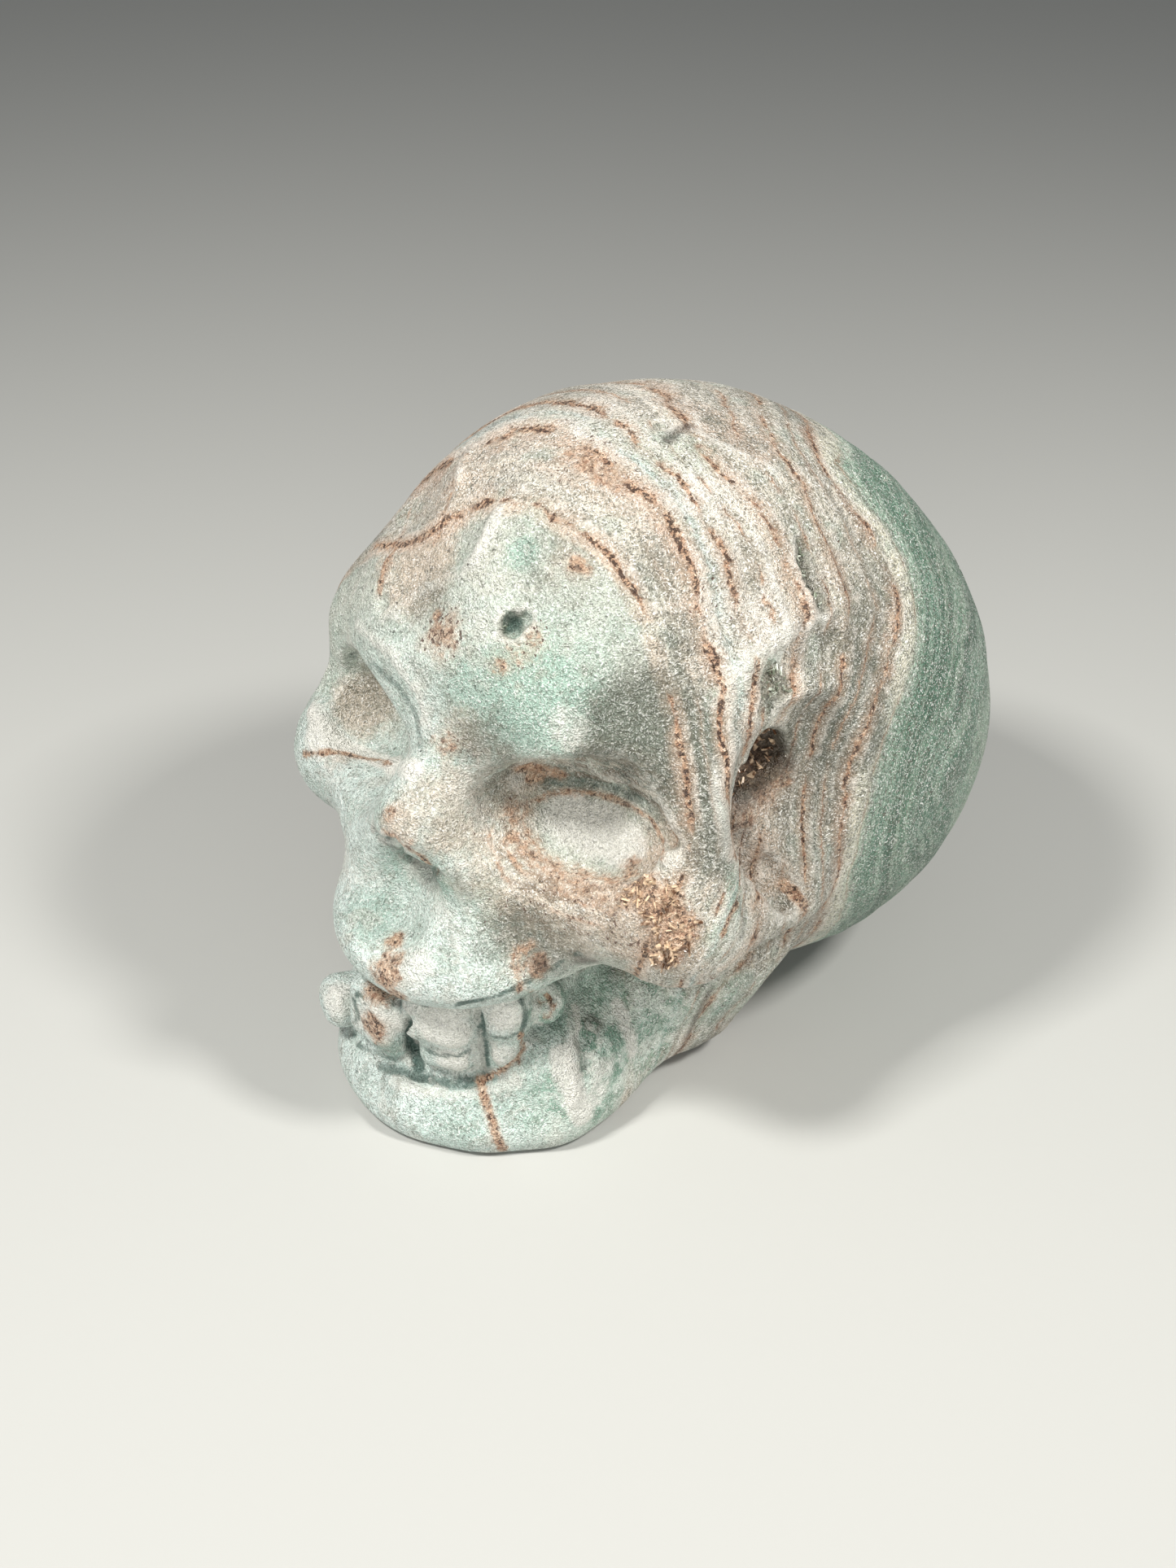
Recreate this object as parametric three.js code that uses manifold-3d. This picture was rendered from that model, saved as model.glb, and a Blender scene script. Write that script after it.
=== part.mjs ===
import * as THREE from 'three';
import Module from 'manifold-3d';

// Stone skull carving, sizes in millimetres, turns in degrees about X.
// The face looks along -Y, +Z is up and the stone rests on the plane z = 0.
// Pairs such as the sockets are given once, for +X, and mirrored.

// Head: one long egg that leans back until its lower rear touches the table.
const CRANIUM = { at: [0, 9.8, 40.9], size: [37.2, 48.8, 36.4], tilt: -37.3 };
const FOREHEAD = { at: [0, -15, 55.5], size: [25.5, 17.5, 12], tilt: -8 };
const FACE = { at: [0, -15, 40], size: [26, 18, 19] };
const FOREHEAD_BLEND = 8;

// Brow, orbit rim and cheek of each side.
const BROW = { from: [7, -26, 57], to: [24, -20.5, 54], thick: [6, 5.5] };
const ORBIT_RIM = { from: [26.5, -21, 51], to: [27.5, -23.5, 37], thick: [4, 4.3] };
const CHEEK_SLOPE = { at: [12, -26, 34.5], size: [11, 11.5, 9] };
const CHEEKBONE = { at: [25.5, -25, 34.5], size: [7.5, 7.5, 8] };
const CHEEK_ARCH = { from: [28, -24, 33], to: [30.5, -8, 32], thick: [5.2, 4.2] };
const BROW_BLEND = 6;
const CHEEK_BLEND = 5;

// Nose bones: a ridge to the tip, then two legs beside the opening.
const NOSE_RIDGE = { from: [0, -31, 51], to: [0, -41, 43.4], thick: [4.2, 3.2] };
const NOSE_LEG = { from: [2.5, -38.5, 42.5], to: [8.5, -36, 34], thick: [3.6, 4.2] };
const NOSE_BLEND = 4;

// Upper jaw with its teeth, the ledge low in front and rising to the sides.
const MAXILLA = { at: [0, -30, 27], size: [17, 17.5, 8], tilt: 12 };
const UPPER_ARCH = { at: [0, -26, 17.5], size: [13.4, 15.2, 8], tilt: 12 };
const UPPER_FRONT_TOOTH = { at: [4.3, -38.6, 15.8], size: [4.7, 4.2, 6] };
const UPPER_SIDE_TOOTH = { at: [11.2, -34.6, 16], size: [3.8, 4.6, 5.4], spin: 42 };
const MAXILLA_BLEND = 5;
const TOOTH_BLEND = 1;

// Lower jaw: a broad chin, a rim on the table, a body and a short rising branch.
const CHIN = { at: [0, -28, 3.5], size: [19.5, 18.3, 8.5], tilt: 4 };
const JAW_RIM = { from: [13.5, -30, 5], to: [16.5, -5, 6], thick: [7, 6] };
const JAW_BODY = { from: [11, -30, 10], to: [19, -8, 16], thick: [6, 6.5] };
const JAW_BRANCH = { from: [17, -8, 8], to: [24, 0, 22], thick: [5, 5] };
const LOWER_FRONT_TOOTH = { at: [4.2, -37.8, 10], size: [4, 4, 4] };
const LOWER_SIDE_TOOTH = { at: [10, -34, 10.5], size: [3.6, 4.2, 4], spin: 42 };
const THROAT = { at: [0, -14, 12], size: [16, 22, 13] };
const JAW_BLEND = 5;
const JAW_SEAM = 1.5;
const THROAT_BLEND = 4;

// Hollows carved into the block, with how softly their edges are rounded.
const SOCKET = { at: [17, -35, 45.5], size: [11.5, 10.5, 7.6], tilt: 18, spin: 22 };
const NOSE_OPENING = { at: [0, -48, 34], size: [7.5, 9, 8] };
const TEMPLE = { at: [39.5, -13, 50], size: [11, 12.5, 16.5], spin: -30 };
const SOCKET_EDGE = 2.5;
const TEMPLE_EDGE = 2.5;
const MIDLINE_SOFTNESS = 1.2;

// Spacing of the facets: fine on the face, wider over the plain cranium.
const FINE = 2.38;
const ACROSS = 2.5;
const COARSE = 4.2;
const GROWTH = 1.15;
const HALF_WIDTH = 42;
const FACE_BACK = -6;
const FACE_TOP = 56;
const REAR = 60;
const CROWN = 88;
const FRONT = -50.8;
const UNDER = -9;
const TABLE_BLOCK = 200;
const SNAP_TO_TABLE = 0.6;
const SETTLE_STEPS = 4;
const NUDGE = 0.05;
const LEAST_SLOPE = 0.25;

const radians = (degrees) => (degrees * Math.PI) / 180;

// Distance to an egg shape; tilt turns it about X, spin about Z.
function egg(x, y, z, { at, size, tilt = 0, spin = 0 }) {
  const dx = x - at[0];
  const dy = y - at[1];
  const dz = z - at[2];
  const [ct, st] = [Math.cos(radians(tilt)), Math.sin(radians(tilt))];
  const [cs, ss] = [Math.cos(radians(spin)), Math.sin(radians(spin))];
  const sx = dx * cs + dy * ss;
  const sy = dy * cs - dx * ss;
  const local = [sx, sy * ct + dz * st, dz * ct - sy * st];
  let near = 0;
  let slope = 0;
  for (let i = 0; i < 3; i += 1) {
    near += (local[i] / size[i]) ** 2;
    slope += (local[i] / size[i] ** 2) ** 2;
  }
  near = Math.sqrt(near) + 1e-6;
  return (near * (near - 1)) / (Math.sqrt(slope) + 1e-9);
}

// Distance to a round rod whose thickness runs from one end to the other.
function rod(x, y, z, { from, to, thick }) {
  const along = [to[0] - from[0], to[1] - from[1], to[2] - from[2]];
  const off = [x - from[0], y - from[1], z - from[2]];
  const dot = off[0] * along[0] + off[1] * along[1] + off[2] * along[2];
  const t = Math.min(Math.max(dot / (along[0] ** 2 + along[1] ** 2 + along[2] ** 2), 0), 1);
  const gap = Math.hypot(off[0] - t * along[0], off[1] - t * along[1], off[2] - t * along[2]);
  return gap - (thick[0] + (thick[1] - thick[0]) * t);
}

// Join two distances with a soft fillet, or carve one out of the other.
function join(a, b, blend) {
  const h = Math.max(blend - Math.abs(a - b), 0) / blend;
  return Math.min(a, b) - (h * h * blend) / 4;
}
const carve = (a, b, blend) => -join(-a, b, blend);

function headAndFace(x, m, y, z) {
  let d = egg(x, y, z, CRANIUM);
  d = join(d, egg(x, y, z, FOREHEAD), FOREHEAD_BLEND);
  d = join(d, egg(x, y, z, FACE), FOREHEAD_BLEND);
  d = join(d, rod(m, y, z, BROW), BROW_BLEND);
  d = join(d, egg(m, y, z, CHEEK_SLOPE), CHEEK_BLEND);
  d = join(d, rod(x, y, z, NOSE_RIDGE), NOSE_BLEND);
  d = join(d, rod(m, y, z, NOSE_LEG), NOSE_BLEND);
  d = join(d, egg(x, y, z, MAXILLA), MAXILLA_BLEND);
  d = join(d, rod(m, y, z, ORBIT_RIM), CHEEK_BLEND);
  d = join(d, egg(m, y, z, CHEEKBONE), BROW_BLEND);
  return join(d, rod(m, y, z, CHEEK_ARCH), CHEEK_BLEND);
}

function upperTeeth(x, m, y, z) {
  let d = egg(x, y, z, UPPER_ARCH);
  d = join(d, egg(m, y, z, UPPER_FRONT_TOOTH), TOOTH_BLEND);
  return join(d, egg(m, y, z, UPPER_SIDE_TOOTH), TOOTH_BLEND);
}

function lowerJaw(x, m, y, z) {
  let d = egg(x, y, z, CHIN);
  d = join(d, rod(m, y, z, JAW_RIM), JAW_BLEND);
  d = join(d, rod(m, y, z, JAW_BODY), JAW_BLEND);
  d = join(d, rod(m, y, z, JAW_BRANCH), JAW_BLEND);
  const front = egg(m, y, z, LOWER_FRONT_TOOTH);
  const teeth = join(front, egg(m, y, z, LOWER_SIDE_TOOTH), TOOTH_BLEND);
  return join(d, teeth, JAW_SEAM);
}

function carving(x, y, z) {
  const m = Math.hypot(x, MIDLINE_SOFTNESS);
  let d = headAndFace(x, m, y, z);
  d = join(d, upperTeeth(x, m, y, z), JAW_SEAM);
  d = join(d, lowerJaw(x, m, y, z), JAW_SEAM);
  d = join(d, egg(x, y, z, THROAT), THROAT_BLEND);
  d = carve(d, egg(m, y, z, SOCKET), SOCKET_EDGE);
  d = carve(d, egg(x, y, z, NOSE_OPENING), SOCKET_EDGE);
  return carve(d, egg(m, y, z, TEMPLE), TEMPLE_EDGE);
}

// Grid lines: even up to a limit, then growing wider.
function lines(start, evenUntil, end) {
  const out = [start];
  let step = FINE;
  while (out[out.length - 1] < end) {
    if (out[out.length - 1] > evenUntil) step = Math.min(step * GROWTH, COARSE);
    out.push(out[out.length - 1] + step);
  }
  return out;
}

function mirroredLines(half) {
  const right = [0];
  while (right[right.length - 1] < half) right.push(right[right.length - 1] + ACROSS);
  return [...right.slice(1).map((v) => -v).reverse(), ...right];
}

// Move a point onto the surface along the slope of the distance.
function settle(p) {
  for (let i = 0; i < SETTLE_STEPS; i += 1) {
    const d = carving(...p);
    const slope = [0, 1, 2].map((k) => {
      const ahead = [...p];
      const behind = [...p];
      ahead[k] += NUDGE;
      behind[k] -= NUDGE;
      return (carving(...ahead) - carving(...behind)) / (2 * NUDGE);
    });
    const steep = Math.max(slope[0] ** 2 + slope[1] ** 2 + slope[2] ** 2, LEAST_SLOPE);
    for (let k = 0; k < 3; k += 1) p[k] -= (d * slope[k]) / steep;
  }
  if (Math.abs(p[2]) < SNAP_TO_TABLE) p[2] = 0;
  return p;
}

// One facet corner in each grid cell that the surface crosses.
function skin(xs, ys, zs) {
  const [nx, ny, nz] = [xs.length, ys.length, zs.length];
  const at = (i, j, k) => (i * ny + j) * nz + k;
  const field = new Float64Array(nx * ny * nz);
  for (let i = 0; i < nx; i += 1) {
    for (let j = 0; j < ny; j += 1) {
      for (let k = 0; k < nz; k += 1) field[at(i, j, k)] = carving(xs[i], ys[j], zs[k]);
    }
  }
  const grid = [xs, ys, zs];
  const corner = new Map();
  const points = [];
  const edges = [];
  for (let c = 0; c < 8; c += 1) {
    for (let axis = 0; axis < 3; axis += 1) {
      if (!(c & (1 << axis))) edges.push([c, c | (1 << axis)]);
    }
  }
  const place = (i, j, k, c) => [i + (c & 1), j + ((c >> 1) & 1), k + ((c >> 2) & 1)];
  for (let i = 0; i < nx - 1; i += 1) {
    for (let j = 0; j < ny - 1; j += 1) {
      for (let k = 0; k < nz - 1; k += 1) {
        const sum = [0, 0, 0];
        let count = 0;
        for (const [a, b] of edges) {
          const pa = place(i, j, k, a);
          const pb = place(i, j, k, b);
          const fa = field[at(...pa)];
          const fb = field[at(...pb)];
          if (fa < 0 !== fb < 0) {
            const t = fa / (fa - fb);
            for (let n = 0; n < 3; n += 1) {
              sum[n] += grid[n][pa[n]] * (1 - t) + grid[n][pb[n]] * t;
            }
            count += 1;
          }
        }
        if (count) {
          corner.set(at(i, j, k), points.length);
          points.push(settle(sum.map((v) => v / count)));
        }
      }
    }
  }
  const triangles = [];
  const span = (a, b) => Math.hypot(...[0, 1, 2].map((n) => points[a][n] - points[b][n]));
  for (let i = 1; i < nx - 1; i += 1) {
    for (let j = 1; j < ny - 1; j += 1) {
      for (let k = 1; k < nz - 1; k += 1) {
        for (let axis = 0; axis < 3; axis += 1) {
          const next = [i, j, k];
          next[axis] += 1;
          const inside = field[at(i, j, k)] < 0;
          if (inside !== field[at(...next)] < 0) {
            const [u, v] = [(axis + 1) % 3, (axis + 2) % 3];
            const quad = [[0, 0], [1, 0], [1, 1], [0, 1]].map(([du, dv]) => {
              const cell = [i, j, k];
              cell[u] -= du;
              cell[v] -= dv;
              return corner.get(at(...cell));
            });
            if (!inside) quad.reverse();
            const [a, b, c, d] = quad;
            if (span(a, c) < span(b, d)) triangles.push([a, b, c], [a, c, d]);
            else triangles.push([a, b, d], [b, c, d]);
          }
        }
      }
    }
  }
  return { points, triangles };
}

const wasm = await Module();
wasm.setup();

function toSolid(points, triangles) {
  return new wasm.Manifold(new wasm.Mesh({
    numProp: 3,
    vertProperties: new Float32Array(points.flat()),
    triVerts: new Uint32Array(triangles.flat()),
  }));
}

function tableBlock() {
  const size = TABLE_BLOCK;
  const box = new THREE.BoxGeometry(size, size, size);
  const at = box.getAttribute('position');
  const found = new Map();
  const points = [];
  const remap = [];
  for (let i = 0; i < at.count; i += 1) {
    const p = [at.getX(i), at.getY(i), at.getZ(i) - size / 2];
    const key = p.join(' ');
    if (!found.has(key)) {
      found.set(key, points.length);
      points.push(p);
    }
    remap.push(found.get(key));
  }
  const index = Array.from(box.getIndex().array, (i) => remap[i]);
  const triangles = [];
  for (let i = 0; i < index.length; i += 3) triangles.push(index.slice(i, i + 3));
  return toSolid(points, triangles);
}

const { points, triangles } = skin(
  mirroredLines(HALF_WIDTH),
  lines(FRONT, FACE_BACK, REAR),
  lines(UNDER, FACE_TOP, CROWN),
);
const stone = toSolid(points, triangles).subtract(tableBlock()).getMesh();

const geometry = new THREE.BufferGeometry();
geometry.setAttribute('position', new THREE.BufferAttribute(stone.vertProperties, 3));
geometry.setIndex(new THREE.BufferAttribute(stone.triVerts, 1));
geometry.computeVertexNormals();

const paleStone = new THREE.MeshStandardMaterial({
  name: 'banded_stone', color: 0xcfd6cf, roughness: 0.6, metalness: 0,
});
const body = new THREE.Mesh(geometry, paleStone);
body.name = 'skull_carving';

// The origin lies on the table under the middle of the length.
geometry.computeBoundingBox();
body.position.y = -(geometry.boundingBox.min.y + geometry.boundingBox.max.y) / 2;

const part = new THREE.Group();
part.name = 'stone_skull_carving';
part.add(body);

export default part;
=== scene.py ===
# %% [markdown]
# # A skull carved from banded stone
# One block of pale blue and cream stone, veined with rusty brown, was carved into a small
# skull. This script makes its fine surface over a plainer solid that already has the right
# size. All lengths below are in millimetres until the mesh is written, which is in metres.

import math

import bpy
import numpy as np
from mathutils import Matrix, Vector


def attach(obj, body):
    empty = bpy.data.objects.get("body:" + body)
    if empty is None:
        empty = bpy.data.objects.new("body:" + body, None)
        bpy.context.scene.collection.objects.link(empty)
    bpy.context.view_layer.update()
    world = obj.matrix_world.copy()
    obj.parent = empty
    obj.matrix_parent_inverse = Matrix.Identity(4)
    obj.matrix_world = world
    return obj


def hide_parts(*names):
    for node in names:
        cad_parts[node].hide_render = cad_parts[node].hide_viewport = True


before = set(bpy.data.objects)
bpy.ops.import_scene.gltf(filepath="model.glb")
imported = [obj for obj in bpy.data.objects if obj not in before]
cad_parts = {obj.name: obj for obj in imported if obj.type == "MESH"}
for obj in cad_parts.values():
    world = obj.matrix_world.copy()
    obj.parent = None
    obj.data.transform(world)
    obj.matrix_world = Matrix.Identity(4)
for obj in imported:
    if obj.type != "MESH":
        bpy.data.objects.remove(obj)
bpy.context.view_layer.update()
MM = 0.001

# %% [markdown]
# ## Where the camera stands
# The marks in the stone are placed by where they appear from one side, so the camera comes
# first. It looks down on the face from the skull's left. A point of the picture becomes a ray,
# and the ray finds its place on the stone.

# %% Camera
WIDE, HIGH = 1445, 1927
FOCAL = 2500.0
AZIMUTH, ELEVATION, ROLL = (math.radians(v) for v in (40.0, 33.0, 2.0))
HEAD_CENTRE = np.array([0.0, 8.0, 43.0])
HEAD_PIXEL = (835.0, 822.0)
HEAD_AWAY = 262.16

back = np.array([math.sin(AZIMUTH) * math.cos(ELEVATION),
                 -math.cos(AZIMUTH) * math.cos(ELEVATION), math.sin(ELEVATION)])
level = np.array([math.cos(AZIMUTH), math.sin(AZIMUTH), 0.0])
right = math.cos(ROLL) * level + math.sin(ROLL) * np.cross(back, level)
up = np.cross(back, right)
eye = (HEAD_CENTRE + HEAD_AWAY * back
       - (HEAD_PIXEL[0] - WIDE / 2) / FOCAL * HEAD_AWAY * right
       + (HEAD_PIXEL[1] - HIGH / 2) / FOCAL * HEAD_AWAY * up)


def rays(pixels):
    """Directions from the eye through points of the picture."""
    xy = np.asarray(pixels, float).reshape(-1, 2)
    d = ((xy[:, :1] - WIDE / 2) * right - (xy[:, 1:] - HIGH / 2) * up - FOCAL * back)
    return d / np.linalg.norm(d, axis=1, keepdims=True)


print("eye in mm:", eye.round(1).tolist())

# %% [markdown]
# ## Shapes that melt together
# A carver leaves no seams: every form runs into the next with a fillet. Meshes of separate
# balls would show seams, so each form is a distance instead. The smaller of two distances
# joins two forms, and a little is taken off where they are nearly equal, which is the fillet.

# %% Distances and soft joins
def egg(p, at, size, tilt=0.0, spin=0.0):
    """Distance to an egg; tilt turns it about X, spin about Z, in degrees."""
    d = p - np.float32(at)
    ct, st = math.cos(math.radians(tilt)), math.sin(math.radians(tilt))
    cs, ss = math.cos(math.radians(spin)), math.sin(math.radians(spin))
    sx, sy = d[:, 0] * cs + d[:, 1] * ss, d[:, 1] * cs - d[:, 0] * ss
    local = (sx, sy * ct + d[:, 2] * st, d[:, 2] * ct - sy * st)
    near = np.sqrt(sum((v / s) ** 2 for v, s in zip(local, size))) + 1e-6
    slope = np.sqrt(sum((v / s ** 2) ** 2 for v, s in zip(local, size))) + 1e-9
    return near * (near - 1) / slope


def rod(p, start, end, thick):
    """Distance to a round rod whose thickness runs from one end to the other."""
    a, ba = np.float32(start), np.float32(end) - np.float32(start)
    t = np.clip((p - a) @ ba / float(ba @ ba), 0, 1)
    gap = np.sqrt(((p - a - t[:, None] * ba) ** 2).sum(1))
    return gap - (thick[0] + (thick[1] - thick[0]) * t)


def block(p, at, half, round_by, spin=0.0, tilt=0.0):
    """Distance to a block with rounded edges, for the teeth."""
    d = p - np.float32(at)
    ct, st = math.cos(math.radians(tilt)), math.sin(math.radians(tilt))
    cs, ss = math.cos(math.radians(spin)), math.sin(math.radians(spin))
    sx, sy = d[:, 0] * cs + d[:, 1] * ss, d[:, 1] * cs - d[:, 0] * ss
    q = np.abs(np.stack([sx, sy * ct + d[:, 2] * st, d[:, 2] * ct - sy * st], 1))
    q -= np.float32(half) - round_by
    return np.sqrt((np.maximum(q, 0) ** 2).sum(1)) + np.minimum(q.max(1), 0) - round_by


def join(a, b, blend):
    h = np.maximum(blend - np.abs(a - b), 0) / blend
    return np.minimum(a, b) - h * h * blend / 4


def carve(a, b, blend):
    return -join(-a, b, blend)


# %% [markdown]
# ## The head and the face
# The cranium is one long egg that leans back until its lower rear touches the table. Forehead,
# brow, cheeks, nose and jaws are smaller eggs and rods. Forms that come in pairs are written
# once: they are measured from the mirrored side.

# %% Head, brow, cheeks and nose
MIDLINE_SOFTNESS = 1.2


def mirrored(p):
    m = p.copy()
    m[:, 0] = np.hypot(p[:, 0], MIDLINE_SOFTNESS)
    return m


def head_and_face(p, m):
    d = egg(p, (0, 9.8, 40.9), (37.2, 48.8, 36.4), tilt=-37.3)            # cranium
    d = join(d, egg(p, (0, -15, 55.5), (25.5, 17.5, 12), tilt=-8), 8)     # forehead
    d = join(d, egg(p, (0, -15, 40), (26, 18, 19)), 8)                    # face
    d = join(d, rod(m, (7, -26, 57), (24, -20.5, 54), (6, 5.5)), 6)       # brow
    d = join(d, egg(m, (12, -26, 34.5), (11, 11.5, 9)), 5)                # slope beside the nose
    d = join(d, rod(p, (0, -31, 51), (0, -41, 43.4), (4.2, 3.2)), 4)          # ridge of the nose
    d = join(d, rod(m, (2.5, -38.5, 42.5), (8.5, -36, 34), (3.6, 4.2)), 4)
    d = join(d, egg(p, (0, -30, 27.5), (17, 17.5, 7.8), tilt=12), 5)      # upper jaw
    d = join(d, rod(m, (26.5, -21, 51), (27.5, -23.5, 37), (4, 4.3)), 5)  # outer orbit rim
    d = join(d, egg(m, (25.5, -25, 34.5), (7.5, 7.5, 8)), 6)              # cheekbone
    return join(d, rod(m, (28, -24, 33), (30.5, -8, 32), (5.2, 4.2)), 4)      # cheek arch


# %% [markdown]
# ## Teeth and lower jaw
# The teeth are squared blocks with rounded edges, tucked under the ledge of the upper jaw.
# Notches between them are cut later, because on the stone they were sawn after the teeth
# were shaped. The lower jaw is a broad low bowl with a flat foot.

# %% Teeth and jaw
# each tooth: middle, half size and turn about the upright, in mm and degrees
UPPER_TEETH = (((-12.3, -40.2, 10.3), (3.4, 3.4, 2.9), -30), ((-4.7, -41.3, 13.9), (4.1, 3.3, 4.4), -6),
               ((3.9, -39.9, 17.7), (4.6, 3.3, 4.2), 18), ((10.4, -35.7, 18.8), (3.1, 3.1, 4.0), 42),
               ((13.6, -31.8, 19.4), (2.2, 2.3, 3.0), 50), ((-15.2, -34.0, 15.5), (1.8, 2.6, 3.2), -55))
LOWER_TEETH = (((-10.4, -38.0, 6.5), (2.8, 2.8, 3.4), -35), ((-3.8, -40.5, 8.6), (3.2, 2.6, 3.2), -6),
               ((4.6, -39.1, 12.0), (3.6, 2.7, 3.0), 20), ((9.9, -36.0, 13.2), (3.0, 2.8, 3.4), 42))


def tooth_row(p, d, teeth, rounding, blend):
    for at, half, turn in teeth:
        d = join(d, block(p, at, half, rounding, spin=turn), blend)
    return d


def upper_teeth(p):
    gum = egg(p, (-0.5, -26.4, 18.6), (14.6, 16.6, 6.4), tilt=14)
    return tooth_row(p, gum, UPPER_TEETH, 2.4, 1.5)


def lower_jaw(p, m):
    d = egg(p, (0, -28, 3.5), (19.5, 18.3, 8.5), tilt=4)
    d = join(d, rod(m, (13, -30, 5.6), (16, -5, 6.5), (5.6, 5.2)), 5)
    d = join(d, rod(m, (11, -30, 10), (19, -8, 16), (6, 6.5)), 5)
    d = join(d, rod(m, (17, -8, 8), (24, 0, 22), (5, 5)), 5)
    return tooth_row(p, d, LOWER_TEETH, 2.0, 1.2)


def rough_out(p):
    """The whole stone with its large hollows, as the carver would rough it out."""
    m = mirrored(p)
    d = head_and_face(p, m)
    d = join(d, upper_teeth(p), 0.4)
    d = join(d, lower_jaw(p, m), 0.5)
    d = join(d, egg(p, (0, -14, 12), (16, 22, 13)), 4)                    # throat
    d = carve(d, egg(m, (17, -35, 45.5), (11.5, 10.5, 7.6), tilt=18, spin=22), 2)  # eye sockets
    d = carve(d, egg(p, (-1, -48, 34), (7.5, 9, 8)), 0.9)                   # nose opening
    return carve(d, egg(m, (39.5, -13, 50), (11, 12.5, 16.5), spin=-30), 1)  # temple


# %% [markdown]
# ## From the picture onto the stone
# A mark is noted as a point of the picture and walked along its ray until it meets the
# roughed-out stone. A ray that only grazes the edge settles on the nearest surface.

# %% Walk a ray to the stone
def slope_of(field, p, nudge=0.05):
    return np.stack([(field(p + np.float32(e)) - field(p - np.float32(e))) / (2 * nudge)
                     for e in nudge * np.eye(3)], 1)


def settle(field, p, steps=3):
    for _ in range(steps):
        g = slope_of(field, p)
        p = p - (field(p) / np.maximum((g ** 2).sum(1), 0.25))[:, None] * g
    return p.astype(np.float32)


def on_stone(pixels, field=rough_out):
    d = rays(pixels)
    away = np.full(len(d), HEAD_AWAY - 75)
    best, kept = np.full(len(d), 1e9), away.copy()
    for _ in range(140):
        gap = field((eye + away[:, None] * d).astype(np.float32))
        closer = (gap < best) & (best > 0.05)
        best[closer], kept[closer] = gap[closer], away[closer]
        away += np.where(best > 0.05, np.clip(gap * 0.7, 0.05, 4), 0)
    return settle(field, (eye + kept[:, None] * d).astype(np.float32))


print("tip of the nose in mm:", on_stone([(470, 1013)])[0].round(1).tolist())

# %% [markdown]
# ## Pits, pockets and creases
# The block had small cavities lined with crystals. They show as holes on the forehead, a slit
# on the temple, pockets on the jaw and a dark cavern behind the orbit. Each is cut with a ball
# or a chain of rods at its mark.

# %% Marks of the cavities
# each one: point of the picture, radius and depth in mm
POCKETS = {
    "forehead hole": ((627, 768), 1.4, 1.8),
    "forehead hole side": ((642, 762), 1.0, 1.2),
    "forehead dimple": ((643, 682), 2.6, 0.5),
    "temple pocket": ((958, 842), 2.3, 1.5),
    "temple pocket below": ((946, 872), 1.9, 1.3),
    "cavern": ((940, 929), 3.7, 4.6),
    "cavern side": ((918, 956), 2.7, 4.2),
    "far socket": ((439, 826), 1.7, 0.9),
    "jaw pocket": ((727, 1248), 2.1, 1.2),
    "jaw pocket below": ((722, 1276), 2.5, 1.3),
    "molar pit": ((667, 1228), 1.3, 1.2),
    "jaw pit": ((722, 1309), 1.2, 0.9),
    "cheek pit": ((660, 1184), 1.5, 1.0),
    "cheek ring": ((790, 1186), 0.8, 0.5),
    "crown hole": ((811, 522), 1.0, 0.9),
    "crown chip": ((1083, 583), 1.6, 0.9),
    "back chip": ((1180, 700), 1.8, 0.8),
    "side dimple": ((1062, 690), 1.6, 0.45),
    "side dimple below": ((1072, 790), 1.3, 0.4),
    "far forehead": ((466, 740), 1.6, 0.9),
}
# wide smooth scoops with a clear edge: point of the picture, radius and depth in mm
SCOOPS = {
    "under the temple line": ((1014, 800), 8.0, 1.9),
    "under the temple ridge": ((975, 818), 6.0, 1.5),
    "beside the slit": ((1013, 705), 6.0, 0.6),
    "behind the vein": ((1085, 700), 8.0, 0.6),
    "far socket": ((455, 874), 7.2, 2.8),
    "far socket foot": ((474, 902), 6.0, 1.6),
    "far orbit notch": ((403, 842), 4.0, 1.3),
    "inner brow": ((690, 948), 7.0, 1.1),
    "under the brow": ((745, 952), 6.0, 0.9),
    "crown facet": ((885, 530), 26.0, 0.55),
    "far facet": ((523, 705), 16.0, 0.9),
    "lip hollow": ((570, 1138), 5.5, 0.8),
    "lip hollow below": ((580, 1172), 5.0, 0.6),
}
# each one: points of the picture, radius at both ends in mm and how soft its lips are
CREASES = {
    "temple slit": (((986, 668), (988, 690), (993, 712), (1004, 730), (1014, 743)), (1.2, 0.9), 0.25),
    "crown crack": (((824, 537), (834, 529), (845, 524)), (0.5, 0.5), 0.3),
    "socket lip": (((636, 948), (668, 952), (712, 963), (755, 972), (786, 986), (806, 1008),
                    (818, 1034)), (1.0, 1.4), 0.9),
    "cavern groove": (((910, 975), (906, 1005), (912, 1035), (934, 1068), (968, 1100)), (1.7, 2.3),
                      1.2),
    "nose underside": (((464, 1026), (482, 1040), (505, 1055), (535, 1074), (556, 1100)),
                       (1.3, 0.6), 0.4),
    "middle gap": (((501, 1252), (507, 1280), (516, 1316)), (0.6, 1.5), 0.3),
    "side gap": (((590, 1246), (593, 1275), (599, 1318)), (0.45, 1.1), 0.3),
    "lower gum": (((478, 1308), (516, 1324), (550, 1331), (583, 1329), (622, 1318), (648, 1300)),
                  (0.7, 0.7), 1.3),
}
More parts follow.
